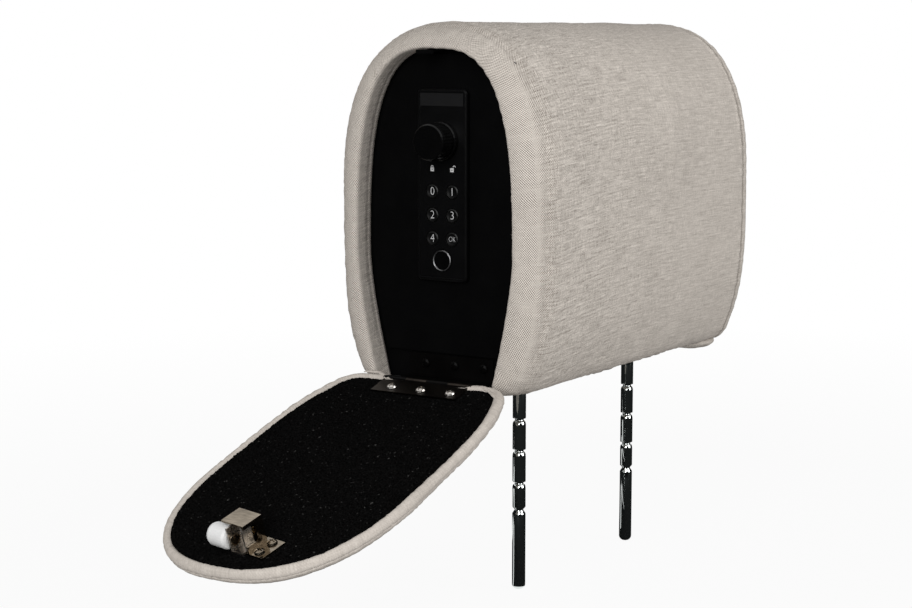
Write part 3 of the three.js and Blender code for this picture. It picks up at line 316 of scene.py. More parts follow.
powder_coat = hard_finish("black_powder_coat", ((0.0007, 0.0007, 0.0008), (0.0016, 0.0016, 0.0017)),
                          (0.5, 0.65), 1400, 0.05, specular=0.035)
case_plastic = hard_finish("black_case_plastic", ((0.0009, 0.0009, 0.001), (0.0018, 0.0018, 0.002)),
                           (0.3, 0.42), 2200, 0.02, specular=0.16)
key_plastic = hard_finish("black_key_plastic", ((0.0016, 0.0016, 0.0017), (0.003, 0.003, 0.003)),
                          (0.3, 0.4), 2600, 0.015, specular=0.17)
knob_plastic = hard_finish("black_knob_plastic", ((0.0008, 0.0008, 0.0009), (0.0016, 0.0016, 0.0017)),
                           (0.2, 0.3), 2200, 0.012, specular=0.22)
label_plastic = hard_finish("grey_label_plastic", ((0.0068, 0.0068, 0.0071), (0.0092, 0.0092, 0.0096)),
                            (0.5, 0.65), 2600, 0.02, specular=0.05)
sensor_glass = hard_finish("sensor_glass", ((0.001, 0.001, 0.0011), (0.002, 0.002, 0.0022)),
                           (0.12, 0.2), 900, 0.004, specular=0.12)
chrome = hard_finish("chrome_plate", ((0.72, 0.765, 0.75), (0.82, 0.85, 0.835)),
                     (0.03, 0.07), 500, 0.004, metallic=1.0)
zinc = hard_finish("zinc_plate", ((0.40, 0.37, 0.335), (0.60, 0.575, 0.545)),
                   (0.2, 0.36), 900, 0.03, metallic=1.0, stretch=(1, 0.1, 1))
nickel = hard_finish("brassy_nickel_plate", ((0.12, 0.098, 0.072), (0.36, 0.305, 0.235)),
                     (0.09, 0.19), 900, 0.015, metallic=1.0, stretch=(1, 0.15, 1))
# Painted reflection: the hinge's flap leaf and pin get a near-black zinc with a brown tint, dark like the
# recess that the leaf reflects.
zinc_painted_dark_reflection = hard_finish("browned_zinc_plate", ((0.012, 0.01, 0.0085), (0.048, 0.04, 0.034)),
                           (0.24, 0.4), 900, 0.03, metallic=1.0)
satin_steel = hard_finish("satin_ring_steel", ((0.2, 0.2, 0.205), (0.3, 0.3, 0.305)),
                          (0.3, 0.42), 900, 0.01, metallic=1.0)
golden = hard_finish("golden_passivated_steel", ((0.62, 0.40, 0.17), (0.85, 0.65, 0.36)),
                     (0.16, 0.26), 900, 0.02, metallic=1.0)
dark_steel = hard_finish("blackened_steel", ((0.0009, 0.0008, 0.0008), (0.002, 0.0018, 0.0017)),
                         (0.3, 0.5), 1200, 0.04, specular=0.05)
nylon = hard_finish("white_nylon", ((0.62, 0.62, 0.615), (0.72, 0.72, 0.715)), (0.38, 0.5), 700, 0.03)
legend_ink = hard_finish("white_legend_ink", ((0.42, 0.42, 0.42), (0.52, 0.52, 0.52)), (0.5, 0.6), 2000, 0.01)
foam_skin = hard_finish("grey_foam", ((0.035, 0.035, 0.037), (0.06, 0.06, 0.063)),
                        (0.85, 1.0), 1100, 0.3, specular=0.1)
raw_board = hard_finish("raw_fibre_board", ((0.05, 0.042, 0.034), (0.09, 0.078, 0.062)), (0.7, 0.9), 700, 0.1)
circuit_green = hard_finish("solder_mask", ((0.012, 0.07, 0.025), (0.018, 0.10, 0.036)),
                            (0.25, 0.4), 900, 0.02)
print("hard finishes made")

# %% [markdown]
# Every engineering node gets its finish. Nodes whose shape is right stay as they are, and the
# others are replaced further on.

# %% Dress the engineering nodes
RAILS = [f"rail_{kind}_{side}" for kind in ("outer", "middle", "inner") for side in ("left", "right")]
KEY_FACES = ("0", "1", "2", "3", "4", "OK")


def numbered(name, count):
    return [f"{name}_{number}" for number in range(1, count + 1)]


DRESS = {
    powder_coat: ["steel_housing", "drawer_front", "drawer_tray", "lock_cover", "catch_strike"],
    foam_skin: ["foam_body", "tray_liner"],
    raw_board: ["flap_board"],
    zinc: ["post_carrier", "post_nut_front", "post_nut_rear", *RAILS, "knob_spindle", "bolt_left",
           "bolt_right", "lock_solenoid", "solenoid_plunger", "catch_slider",
           *numbered("hinge_flap_screw", 3)],
    zinc_painted_dark_reflection: ["hinge_flap_leaf", "hinge_pin"],
    dark_steel: ["hinge_body_leaf", *numbered("hinge_body_screw", 3)],
    nickel: ["catch_bracket", "catch_axle", *numbered("catch_screw", 2)],
    golden: ["catch_spring"],
    nylon: ["catch_roller"],
    case_plastic: ["keypad_housing", "battery_box"],
    knob_plastic: ["knob", "knob_collar"],
    key_plastic: ["key_" + face.lower() for face in KEY_FACES],
    label_plastic: ["label_strip"],
    sensor_glass: ["fingerprint_sensor"],
    chrome: ["post_front", "post_rear", "fingerprint_ring"],
    circuit_green: ["control_board"],
    pile_finish: ["flap_lining"],
    wrap_cloth: ["cover_wrap", "cover_end_panel", "flap_cover"],
}


def wear_only(piece, finish):
    piece.data.materials.clear()
    piece.data.materials.append(finish)


for finish, names in DRESS.items():
    for name in names:
        wear_only(nodes[name], finish)
print("nodes dressed", sum(len(names) for names in DRESS.values()))

# %% [markdown]
# A cover's outline is a flat foot, a flaring side and a superellipse crown. Points are spread
# evenly along each stretch, so that neighbouring outlines match point for point.

# %% Outlines
FOOT, CORNER, FLANK, CROWN = 10, 10, 34, 74
FINE_STEPS = 400


def lengths(points):
    """The length along a chain at each of its points."""
    reach = [0.0]
    for a, b in zip(points, points[1:]):
        reach.append(reach[-1] + (b - a).length)
    return reach


def point_at(points, reach, goal):
    """The point of a chain that lies at a length along it."""
    at = min(max(bisect_right(reach, goal) - 1, 0), len(points) - 2)
    return points[at].lerp(points[at + 1], (goal - reach[at]) / (reach[at + 1] - reach[at]))


def spread(curve, count):
    """count points at even steps along curve(0..1), the end left out."""
    fine = [Vector(curve(i / FINE_STEPS)) for i in range(FINE_STEPS + 1)]
    reach = lengths(fine)
    return [point_at(fine, reach, reach[-1] * step / count) for step in range(count)]


def outline(half, wide, crown, foot, rounding, crown_power, flare_power):
    def flank(share):
        return (half - (half - foot) * share ** flare_power, wide * (1 - share))

    corner_share = 1 - rounding / wide
    start, knee, end = Vector((foot - rounding, 0)), Vector((foot, 0)), Vector(flank(corner_share))
    half_loop = spread(lambda t: (t * (foot - rounding), 0), FOOT)
    half_loop += spread(lambda t: start * (1 - t) ** 2 + knee * 2 * t * (1 - t) + end * t * t, CORNER)
    half_loop += spread(lambda t: flank(corner_share * (1 - t)), FLANK)
    half_loop += spread(lambda t: (half * max(math.cos(t * math.pi / 2), 0) ** (2 / crown_power),
                                   wide + crown * math.sin(t * math.pi / 2) ** (2 / crown_power)), CROWN)
    top = Vector((0, wide + crown))
    return half_loop + [top] + [Vector((-p.x, p.y)) for p in reversed(half_loop[1:])]


BODY_SIZES = {"half": 87.9, "wide": 138.1, "crown": 119.7, "foot": 67, "rounding": 9,
              "crown_power": 2.43, "flare_power": 4}
SMOOTHING_STEPS = 60


def nested(distance, foot_share=1.0, rounding=4):
    """The body's outline drawn a distance further in, with as many points."""
    sizes = dict(BODY_SIZES, rounding=rounding)
    sizes["half"] -= distance
    sizes["wide"] -= distance
    sizes["crown"] -= distance
    sizes["foot"] -= distance * foot_share
    return [Vector((p.x, p.y + distance)) for p in outline(**sizes)]


body_loop = outline(**BODY_SIZES)
mouth_loop = outline(64.7, 95.9, 144.1, 46.6, 6, 2.91, 1.42)


def closest(point, a, b):
    share = min(max((point - a).dot(b - a) / (b - a).length_squared, 0.0), 1.0)
    return (point - a.lerp(b, share)).length, share


def paired(outer, inner):
    """The inner loop with its points moved along it to face the outer loop's, so that the threads
    of the rim run straight."""
    half = len(outer) // 2
    chain = inner[:half + 1]
    reach = lengths(chain)
    places = []
    for point in outer[:half + 1]:
        near = min(range(half), key=lambda i: closest(point, chain[i], chain[i + 1])[0])
        share = closest(point, chain[near], chain[near + 1])[1]
        place = reach[near] + (reach[near + 1] - reach[near]) * share
        places.append(max(place, places[-1] if places else 0.0))
    places[0], places[-1] = 0.0, reach[-1]
    for step in range(SMOOTHING_STEPS):
        places[1:-1] = [(a + 2 * b + c) / 4 for a, b, c in zip(places, places[1:], places[2:])]
    moved = [point_at(chain, reach, place) for place in places]
    return moved + [Vector((-p.x, p.y)) for p in reversed(moved[1:])]


opening_loop = paired(body_loop, mouth_loop)
body_reach = lengths(body_loop + body_loop[:1])
print("body outline", len(body_loop), "points,", round(body_reach[-1]), "mm round")

# %% [markdown]
# Cloth is lofted: one ring of points for each station of the profile, quads between the rings.
# The UV map holds real lengths: along the profile and round the outline on a side, and straight
# across on a flat end. A short cloth simulation then lets it settle: sewn edges stay put, and the
# foam holds the rest softly.

# %% Loft rings into cloth
SETTLING_FRAMES = 12
CLOTH_QUALITY, CLOTH_MASS = 4, 0.15
FOAM_GIVE = 0.15
SEWN_GAP = 0.01
FOLD_CENTRE = 110


def mesh_piece(name, vertices, edges, faces):
    mesh = bpy.data.meshes.new(name)
    mesh.from_pydata(vertices, edges, faces)
    piece = bpy.data.objects.new(name, mesh)
    bpy.context.scene.collection.objects.link(piece)
    return piece


def activate(piece):
    bpy.ops.object.select_all(action="DESELECT")
    piece.select_set(True)
    bpy.context.view_layer.objects.active = piece


@contextmanager
def edit_mode(piece, action="SELECT"):
    """Inside this, edit-mode tools work on the whole piece, or on what the action leaves selected."""
    activate(piece)
    bpy.ops.object.mode_set(mode="EDIT")
    if action:
        bpy.ops.mesh.select_all(action=action)
    yield
    bpy.ops.object.mode_set(mode="OBJECT")


def apply_modifier(piece, kind, **settings):
    activate(piece)
    modifier = piece.modifiers.new(kind.lower(), kind)
    for key, value in settings.items():
        setattr(modifier, key, value)
    bpy.ops.object.modifier_apply(modifier=modifier.name)


def loft(name, rings, uvs, close_end=False, held=None):
    """rings and uvs hold one list for each station. A list of uvs has one more entry than its ring, for
    the last edge. held says for each station how firmly a simulation leaves the cloth in its place."""
    count = len(rings[0])
    vertices = [tuple(p) for ring in rings for p in ring]
    faces, corners = [], []
    for s in range(len(rings) - 1):
        for k in range(count):
            n = (k + 1) % count
            faces.append((s * count + k, s * count + n, (s + 1) * count + n, (s + 1) * count + k))
            corners += [uvs[s][k], uvs[s][k + 1], uvs[s + 1][k + 1], uvs[s + 1][k]]
    if close_end:
        middle = sum((Vector(p) for p in rings[-1]), Vector()) / count
        vertices.append(tuple(middle))
        last, base = len(vertices) - 1, (len(rings) - 1) * count
        for k in range(count):
            faces.append((base + k, base + (k + 1) % count, last))
            corners += [uvs[-1][k], uvs[-1][k + 1], (middle.y * MM, middle.z * MM)]
    piece = mesh_piece(name, vertices, [], faces)
    layer = piece.data.uv_layers.new(name="cloth")
    for i, uv in enumerate(corners):
        layer.data[i].uv = uv
    if held:
        group = piece.vertex_groups.new(name="held")
        for s, weight in enumerate(held):
            group.add(list(range(s * count, (s + 1) * count)), weight, "REPLACE")
        if close_end:
            group.add([len(vertices) - 1], held[-1], "REPLACE")
    with edit_mode(piece):
        bpy.ops.mesh.remove_doubles(threshold=SEWN_GAP)
    return piece


def settle_cloth(piece, grow, pressure, cap):
    """Simulates the cloth: it is cut a share larger and swells, and the foam holds each point as firmly
    as the group held says. No point moves further than cap millimetres, or sinks in past FOAM_GIVE."""
    piece.data.transform(Matrix.Scale(MM, 4))
    start = [v.co.copy() for v in piece.data.vertices]
    outward = [v.normal.copy() for v in piece.data.vertices]
    activate(piece)
    modifier = piece.modifiers.new("settling", "CLOTH")
    settings = modifier.settings
    settings.quality, settings.mass = CLOTH_QUALITY, CLOTH_MASS
    settings.vertex_group_mass = "held"
    settings.shrink_min = -grow
    settings.use_pressure, settings.uniform_pressure_force = True, pressure
    settings.effector_weights.gravity = 0
    modifier.collision_settings.use_collision = False
    for number in range(1, SETTLING_FRAMES + 1):
        bpy.context.scene.frame_set(number)
    settled = piece.evaluated_get(bpy.context.evaluated_depsgraph_get())
    ends = [v.co.copy() for v in settled.data.vertices]
    piece.modifiers.remove(modifier)
    bpy.context.scene.frame_set(1)
    furthest = 0.0
    for vertex, first, last, normal in zip(piece.data.vertices, start, ends, outward):
        move = last - first
        move -= normal * min(move.dot(normal) + FOAM_GIVE * MM, 0.0)
        furthest = max(furthest, move.length)
        vertex.co = first + move * min(1.0, cap * MM / max(move.length, 1e-9))
    piece.data.transform(Matrix.Scale(1 / MM, 4))
    print(piece.name, "settled, furthest", round(furthest / MM, 2), "mm, kept to", cap)


def smooth(piece):
    for face in piece.data.polygons:
        face.use_smooth = True


def push(piece, height):
    """Moves each point along its normal by height(point), in the piece's own units."""
    normals = [v.normal.copy() for v in piece.data.vertices]
    places = [v.co.copy() for v in piece.data.vertices]
    for vertex, normal, place in zip(piece.data.vertices, normals, places):
        vertex.co = place + normal * height(place)


def uneven(place, length, height, shift=Vector()):
    """Soft noise with bumps about a length apart and up to a height."""
    return noise.noise(place / length + shift) * height


def gathers(place, count, length, sway):
    """Small folds from -1 to 1, a count of them round the body, which sway a little."""
    turn = math.atan2(place.z - FOLD_CENTRE, place.y)
    return math.sin(turn * count + uneven(place, length, sway))


def ridge(centre, place, width):
    """A rounded ridge, 1 at its centre."""
    return math.exp(-((place - centre) / width) ** 2)


def settle(piece, matrix, body, slot, *replaced):
    """Puts a finished mesh in the row's frame, on its body, in place of its engineering nodes."""
    piece.data.transform(matrix)
    piece.matrix_basis = Matrix.Identity(4)
    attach(piece, body)
    if replaced:
        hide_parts(*replaced)
    return piece


# %% [markdown]
# The main cover is one cloth: up the wall of the recess, over the rolled rim, round the body's
# edge and back to the welt seam. Small folds gather where the rim turns tightly, and the foam
# underneath is never quite even.

# %% Main cover
EDGE_RADIUS = 21.5
RIM_DEPTH = 30
RECESS_DEPTH = 18.4
RIM_CREST, LIP_RISE = 3.6, 0.15
SEAM_SETBACK, SEAM_TUCK = 12, 2.4
SEAM_PLACE = BODY_LENGTH - SEAM_SETBACK
FAR_ROUND_START = BODY_LENGTH - EDGE_RADIUS
SEAM_TURN = math.asin((SEAM_PLACE - FAR_ROUND_START) / EDGE_RADIUS)
FINE_REACH = 6
WALL_STEPS, ROUND_STEPS, SIDE_STEPS, FINE_SIDE_STEPS, SEAM_STEPS = 7, 20, 70, 8, 14


def edge_drop(q):
    """How far the rolled rim lies behind its plane at a distance q inside the outline."""
    if q >= EDGE_RADIUS:
        return 0.0
    return RIM_DEPTH * (1 - math.sqrt(1 - ((EDGE_RADIUS - q) / EDGE_RADIUS) ** 2))


def far_round(angle):
    """(inset, X) on the far edge's round: 0 where it starts, a quarter turn on the end's flat."""
    return EDGE_RADIUS * (1 - math.cos(angle)), FAR_ROUND_START + EDGE_RADIUS * math.sin(angle)


def cover_profile(width):
    """(inset from the body's outline, X) from the recess to the seam; width is the rim's here."""
    crest = min(RIM_CREST, width * 0.45)
    rim, start = edge_drop(width), width - crest
    deep = RECESS_DEPTH - rim - crest
    path = [(width, rim + crest + deep * (1 - i / WALL_STEPS)) for i in range(WALL_STEPS + 1)]
    inner, corner, outer = (width, rim + crest), (width, rim - LIP_RISE), (start, edge_drop(start))
    for i in range(1, WALL_STEPS + 1):
        t = i / WALL_STEPS
        path.append(tuple(a * (1 - t) ** 2 + b * 2 * t * (1 - t) + c * t * t
                          for a, b, c in zip(inner, corner, outer)))
    first = math.asin(max(EDGE_RADIUS - start, 0) / EDGE_RADIUS)
    for i in range(1, ROUND_STEPS + 1):
        angle = first + (math.pi / 2 - first) * i / ROUND_STEPS
        path.append((EDGE_RADIUS * (1 - math.sin(angle)), RIM_DEPTH * (1 - math.cos(angle))))
    fine_start = FAR_ROUND_START - FINE_REACH
    path += [(0, RIM_DEPTH + (fine_start - RIM_DEPTH) * i / SIDE_STEPS) for i in range(1, SIDE_STEPS + 1)]
    path += [(0, fine_start + FINE_REACH * i / FINE_SIDE_STEPS) for i in range(1, FINE_SIDE_STEPS + 1)]
    path += [far_round(SEAM_TURN * i / SEAM_STEPS) for i in range(1, SEAM_STEPS + 1)]
    inset = path[-1][0]
    return path + [(inset + SEAM_TUCK * 0.4, SEAM_PLACE + 0.5), (inset + SEAM_TUCK, SEAM_PLACE + 0.3)]


def eased(value):
    value = min(max(value, 0.0), 1.0)
    return value * value * (3 - 2 * value)


def cover_rings():
    columns, count = [], len(body_loop)
    for k, (outer, inner) in enumerate(zip(body_loop, opening_loop)):
        width = max((outer - inner).length, 0.5)
        from_middle = min(k, count - k)
        free = eased((from_middle - (FOOT - 2)) / 3)
        column = []
        for q, x in cover_profile(width):
            yz = outer.lerp(inner, q / width)
            if x < RECESS_DEPTH and free < 1:
                yz = outer.lerp(yz, free)
                x = RECESS_DEPTH + (x - RECESS_DEPTH) * free
            column.append(Vector((x, yz.x, yz.y)))
        columns.append(column)
    return [[column[s] for column in columns] for s in range(len(columns[0]))]


SIDE_COLUMN = FOOT + CORNER + FLANK
FOAM_HOLD = 0.24
SEWN_STATIONS, SEWN_EDGE = 9, 3


def run_along(rings):
    """How far the cloth has run at each station, along the side of the body or the flap."""
    return lengths([ring[SIDE_COLUMN] for ring in rings])


rings = cover_rings()
uvs = [[(run * MM, reach * MM) for reach in body_reach] for run in run_along(rings)]
held = [1.0 if min(s, len(rings) - s) < SEWN_STATIONS else FOAM_HOLD for s in range(len(rings))]
main_cover = loft("main_cover", rings, uvs, held=held)
settle_cloth(main_cover, grow=0.012, pressure=3.0, cap=1.8)
smooth(main_cover)
print("main cover", len(main_cover.data.vertices), "points")

# %% [markdown]
# Upholstery is never quite even. Soft noise moves the cloth by half a millimetre, and folds a few
# millimetres apart run out from the upper corner of the rim, where the cloth turns most.

# %% Unevenness and folds of the cover
PUCKER_CORNER, PUCKER_REACH = Vector((12, -52, 228)), 34
BAND_PLACE, BAND_WIDTH, BAND_DIP = 15.5, 2.4, 1.0
STITCH_PLACE, STITCH_WIDTH, STITCH_DIP, WELT_RISE = 324.0, 1.2, 0.7, 0.35
DEEPEST = -1.1


def cover_height(place):
    broad = uneven(place, 55, 0.7) * eased(place.x / 30)
    small = uneven(place, 16, 0.16, Vector((7, 3, 1)))
    near_rim = eased(1 - place.x / 42) * eased((place.x + 1) / 4)
    corner = ridge(0, (place - PUCKER_CORNER).length, PUCKER_REACH)
    folds = near_rim * gathers(place, 92, 30, 3) * (0.05 + 0.4 * corner)
    seam = eased(1 - (SEAM_PLACE - place.x) / 16) * gathers(place, 70, 25, 4) * 0.16
    band = ridge(BAND_PLACE, place.x, BAND_WIDTH) * eased((place.z - 12) / 30) * BAND_DIP
    welt = WELT_RISE * eased((place.x - STITCH_PLACE - STITCH_WIDTH / 2) / 2)
    stitches = STITCH_DIP * ridge(STITCH_PLACE, place.x, STITCH_WIDTH)
    return max(broad + small + folds + seam - band, DEEPEST) + welt - stitches


push(main_cover, cover_height)

POST_SPACING = 169.2
POST_HOLE = 5.5
HOLE_SURROUND, HOLE_LIP = 2.4, 1.22
UNDERSIDE = 4
COVER_THICKNESS, FLAP_CLOTH_THICKNESS = 1.6, 1.3


def open_hole(piece, x, y, radius):
    """Cuts a round hole for a post: nearby faces are divided, those inside go, and the rim is rounded."""
    def reach(place):
        return math.hypot(place.x - x, place.y - y) if place.z < UNDERSIDE else math.inf

    def pick(limit):
        with edit_mode(piece, "DESELECT"):
            pass
        for face in piece.data.polygons:
            face.select = reach(face.center) < limit

    pick(radius * HOLE_SURROUND)
    with edit_mode(piece, None):
        bpy.ops.mesh.subdivide(number_cuts=3)
    pick(radius)
    with edit_mode(piece, None):
        bpy.ops.mesh.delete(type="FACE")
    for vertex in piece.data.vertices:
        gap = reach(vertex.co)
        if 0 < gap < radius * HOLE_LIP:
            share = max(radius / gap, 1)
            vertex.co.x, vertex.co.y = x + (vertex.co.x - x) * share, y + (vertex.co.y - y) * share


for side in (-1, 1):
    open_hole(main_cover, HALF_LENGTH + side * POST_SPACING / 2, -POST_SETBACK, POST_HOLE)
apply_modifier(main_cover, "SOLIDIFY", thickness=COVER_THICKNESS, offset=-1)
smooth(main_cover)
wear_only(main_cover, wrap_cloth)
settle(main_cover, body_frame, "root", "cloth", "cover_wrap")

# %% [markdown]
# The far end is a separate panel, sewn to the cover in a welt seam. Both cloths dip into the seam,
# and the panel crowns a little over the foam.

# %% End panel
END_CROWN = 2.4
END_MIDDLE = Vector((BODY_LENGTH, 0, 128))
END_STEPS = 22


def end_rings():
    inset, first = far_round(SEAM_TURN)[0], SEAM_TURN + 0.06
    path = [(inset + SEAM_TUCK, SEAM_PLACE + 0.9), (inset + SEAM_TUCK * 0.35, SEAM_PLACE + 1.0)]
    path += [far_round(first + (math.pi / 2 - first) * i / SEAM_STEPS) for i in range(1, SEAM_STEPS + 1)]
    pairs = list(zip(body_loop, nested(EDGE_RADIUS)))
    found = [[Vector((x, *p.lerp(deep, q / EDGE_RADIUS))) for p, deep in pairs] for q, x in path]
    flat, middle = found[-1], END_MIDDLE
    for i in range(1, END_STEPS):
        share = 1 - i / END_STEPS
        crown = END_CROWN * (1 - share * share)
        found.append([middle + (p - middle) * share + Vector((crown, 0, 0)) for p in flat])
    return found


rings = end_rings()
uvs = [[(p.y * MM, p.z * MM) for p in ring + ring[:1]] for ring in rings]
held = [1.0 if s < SEWN_EDGE else FOAM_HOLD for s in range(len(rings))]
end_panel = loft("end_panel", rings, uvs, close_end=True, held=held)
settle_cloth(end_panel, grow=0.01, pressure=3.0, cap=1.8)
smooth(end_panel)


def end_height(place):
    edge = eased((place.x - SEAM_PLACE) / 4) * eased((BODY_LENGTH + 4 - place.x) / 12)
    return uneven(place, 50, 0.8) + uneven(place, 14, 0.12) + edge * gathers(place, 70, 25, 4) * 0.12


push(end_panel, end_height)
apply_modifier(end_panel, "SOLIDIFY", thickness=COVER_THICKNESS, offset=-1)
smooth(end_panel)
wear_only(end_panel, panel_cloth)
settle(end_panel, body_frame, "root", "cloth", "cover_end_panel")
print("end panel", len(end_panel.data.vertices), "points")

# %% [markdown]
# Under the far corner the spare cloth is tucked up in a small lobe, which shows below the edge.

# %% Tucked fold
FOLD_PLACE, FOLD_SIZE = (314, -46, -1.2), (24, 20, 6)
FOLD_CLOTH = 0.12
bpy.ops.mesh.primitive_uv_sphere_add(segments=48, ring_count=24, radius=1)
tucked_fold = bpy.context.object
tucked_fold.name = "tucked_fold"
tucked_fold.data.uv_layers[0].name = "cloth"
for corner in tucked_fold.data.uv_layers[0].data:
    corner.uv = corner.uv * FOLD_CLOTH
tucked_fold.data.transform(Matrix.Translation(FOLD_PLACE) @ Matrix.Diagonal((*FOLD_SIZE, 1)))
push(tucked_fold, lambda place: uneven(place, 9, 1.1) + uneven(place, 3.5, 0.25))
smooth(tucked_fold)
wear_only(tucked_fold, panel_cloth)
settle(tucked_fold, body_frame, "root", "cloth")
print("tucked fold", len(tucked_fold.data.vertices), "points")

# %% [markdown]
# The flap is a stiff board in a padded cloth shell. A rolled edge stands round the lining, a seam
# runs under the roll, and the outer face is softly crowned. At the hinge the roll gives way.

# %% Flap shell
FLAP_INSET = 5.6
FLAP_NARROWER, FLAP_ASIDE, FLAP_LONGER = 1.4, -1.5, 1.01
FLAP_DEPTH = 11.6
NOTCH_HALF, NOTCH_MIDDLE, NOTCH_TOP = 37.6, -4, 3.8
NOTCH_DEPTH = 5.2
FLAP_SEAM = 14
CORE_INSET = 15
FLAP_CROWN, FLAP_STEPS = 1.8, 30


def flap_outline(points):
    """A nested outline made a little narrower and set aside, in the flap's frame."""
    half = max(p.x for p in points)
    share = (half - FLAP_NARROWER) / half
    return [Vector((p.x * share + FLAP_ASIDE, p.y * FLAP_LONGER - HINGE_HEIGHT)) for p in points]


flap_loop = flap_outline(nested(FLAP_INSET, 0.4, 12))
flap_core = flap_outline(nested(FLAP_INSET + CORE_INSET, 0.9, 6))
flap_reach = lengths(flap_loop + flap_loop[:1])
flap_middle = Vector((-FLAP_DEPTH, 0, 118))
LINING_LIP = [(3.6, -3.0), (3.45, -1.4), (3.2, -0.3)]
ROLL = [(2.8, 0.4), (2.3, 0.7), (1.7, 0.55), (1.0, -0.1), (0.45, -1.0), (0.1, -2.2), (0.1, -2.9), (0.3, -3.4)]
SEAM_DIP = [(0.65, -3.7), (1.0, -3.85), (1.2, -3.95), (1.2, -4.15), (0.95, -4.4), (0.75, -4.8)]
BACK = [(1.0, -5.4), (1.6, -6.2), (2.5, -7.1), (3.7, -8.0), (5.3, -8.9), (7.6, -9.8), (10.6, -10.7)]
FLAP_PROFILE = LINING_LIP + ROLL + SEAM_DIP + BACK + [(CORE_INSET, -FLAP_DEPTH)]


def flap_point(edge, core, q, x):
    """A point a distance q inside the flap's edge; at the hinge it rises out of the notch."""
    y, z = edge.lerp(core, q / CORE_INSET)
    notched = eased((NOTCH_HALF - abs(y - NOTCH_MIDDLE)) / 2.5) * eased((x + NOTCH_DEPTH + 0.8) / 0.8)
    return Vector((x, y, z + max(NOTCH_TOP - z, 0) * notched))


def flap_rings():
    found = [[flap_point(*pair, q, x) for pair in zip(flap_loop, flap_core)] for q, x in FLAP_PROFILE]
    flat = found[-1]
    for i in range(1, FLAP_STEPS):
        share = 1 - i / FLAP_STEPS
        crown = Vector((FLAP_CROWN * (share * share - 1), 0, 0))
        found.append([flap_middle + (p - flap_middle) * share + crown for p in flat])
    return found


rings = flap_rings()
uvs = [[(run * MM, reach * MM) for reach in flap_reach] for run in run_along(rings)[:FLAP_SEAM + 1]]
uvs += [[(p.z * MM, p.y * MM) for p in ring + ring[:1]] for ring in rings[FLAP_SEAM + 1:]]
sewn = [s < SEWN_EDGE or FLAP_SEAM - 3 < s < FLAP_SEAM + 2 for s in range(len(rings))]
held = [1.0 if fixed else FOAM_HOLD for fixed in sewn]
flap_shell = loft("flap_shell", rings, uvs, close_end=True, held=held)
settle_cloth(flap_shell, grow=0.008, pressure=2.0, cap=1.0)
smooth(flap_shell)


def flap_height(place):
    folds = gathers(place, 84, 22, 4) * eased((place.x + 12) / 4)
    return uneven(place, 40, 0.5) + uneven(place, 12, 0.14) + folds * 0.06


push(flap_shell, flap_height)
apply_modifier(flap_shell, "SOLIDIFY", thickness=FLAP_CLOTH_THICKNESS, offset=-1)
smooth(flap_shell)
wear_only(flap_shell, panel_cloth)
settle(flap_shell, flap_frame, "flap", "cloth", "flap_cover")
print("flap shell", len(flap_shell.data.vertices), "points")

# %% [markdown]
# The lining's pile is modelled: its engineering solid is remeshed at a millimetre, and every point
# of it rises or sinks a little, as loops do.

# %% Flap lining
LINING_NARROWER = 0.3
LOOP_GAP = 1.0 * MM
MERGE_GAP = 0.02 * MM


def merged_copy(name, node):
    piece = nodes[node].copy()
    piece.data = nodes[node].data.copy()
    piece.name, piece.parent = name, None
    bpy.context.scene.collection.objects.link(piece)
    for key in list(piece.keys()):
        del piece[key]
    with edit_mode(piece):
        bpy.ops.mesh.remove_doubles(threshold=MERGE_GAP)
    return piece


pile_lining = merged_copy("pile_lining", "flap_lining")
pile_lining.data.remesh_voxel_size = LOOP_GAP
bpy.ops.object.voxel_remesh()
push(pile_lining, lambda place: MM * (uneven(place / MM, 1.5, 0.55) + uneven(place / MM, 6, 0.3) + 0.25))
to_flap = flap_frame.inverted()
lining_half = max(abs((to_flap @ v.co).y) for v in pile_lining.data.vertices)
share = (lining_half - LINING_NARROWER) / lining_half
fitted = Matrix.Translation((0, FLAP_ASIDE, 0)) @ Matrix.Diagonal((1, share, FLAP_LONGER, 1))
pile_lining.data.transform(flap_frame @ fitted @ to_flap)
smooth(pile_lining)
wear_only(pile_lining, pile_finish)
settle(pile_lining, Matrix.Identity(4), "flap", "carpet", "flap_lining")
print("lining", len(pile_lining.data.vertices), "points")

# %% [markdown]
# Beside the hinge the flap's cloth is turned over the lining and left raw. Each strip is a flattened
# tube along a few points, thin at its ends, and roughened by noise where it frays.

# %% Frayed strips
STRIP_WIDE, STRIP_THICK, STRIP_RISE = 1.5, 0.75, 1.1
STRIP_STEPS, STRIP_SIDES = 48, 12
STRIP_TAPER, STRIP_TIP = 0.35, 0.02
STRIPS = {
    "frayed_strip_right": [(-40.5, -1.7), (-48, -1.2), (-55, 1.8), (-62, 7.2), (-68.5, 12.8)],
    "frayed_strip_left": [(23.7, 4.3), (32, -0.6), (41, -5.6), (48.5, -4.9), (53.5, -3.6)],
}


def strip_rings(points):
    chain = [Vector(p) for p in points]
    reach, last = lengths(chain), STRIP_STEPS - 1
    path = [point_at(chain, reach, reach[-1] * i / last) for i in range(STRIP_STEPS)]
    rings = []
    for i, p in enumerate(path):
        ahead = (path[min(i + 1, last)] - path[max(i - 1, 0)]).normalized()
        aside = Vector((-ahead.y, ahead.x))
        size = max(max(math.sin(math.pi * i / last), 0) ** STRIP_TAPER, STRIP_TIP)
        ring = []
        for k in range(STRIP_SIDES):
            turn = 2 * math.pi * k / STRIP_SIDES
            flat = p + aside * (math.cos(turn) * STRIP_WIDE * size)
            ring.append(Vector((STRIP_RISE + math.sin(turn) * STRIP_THICK * size, *flat)))
        rings.append(ring)
    return rings


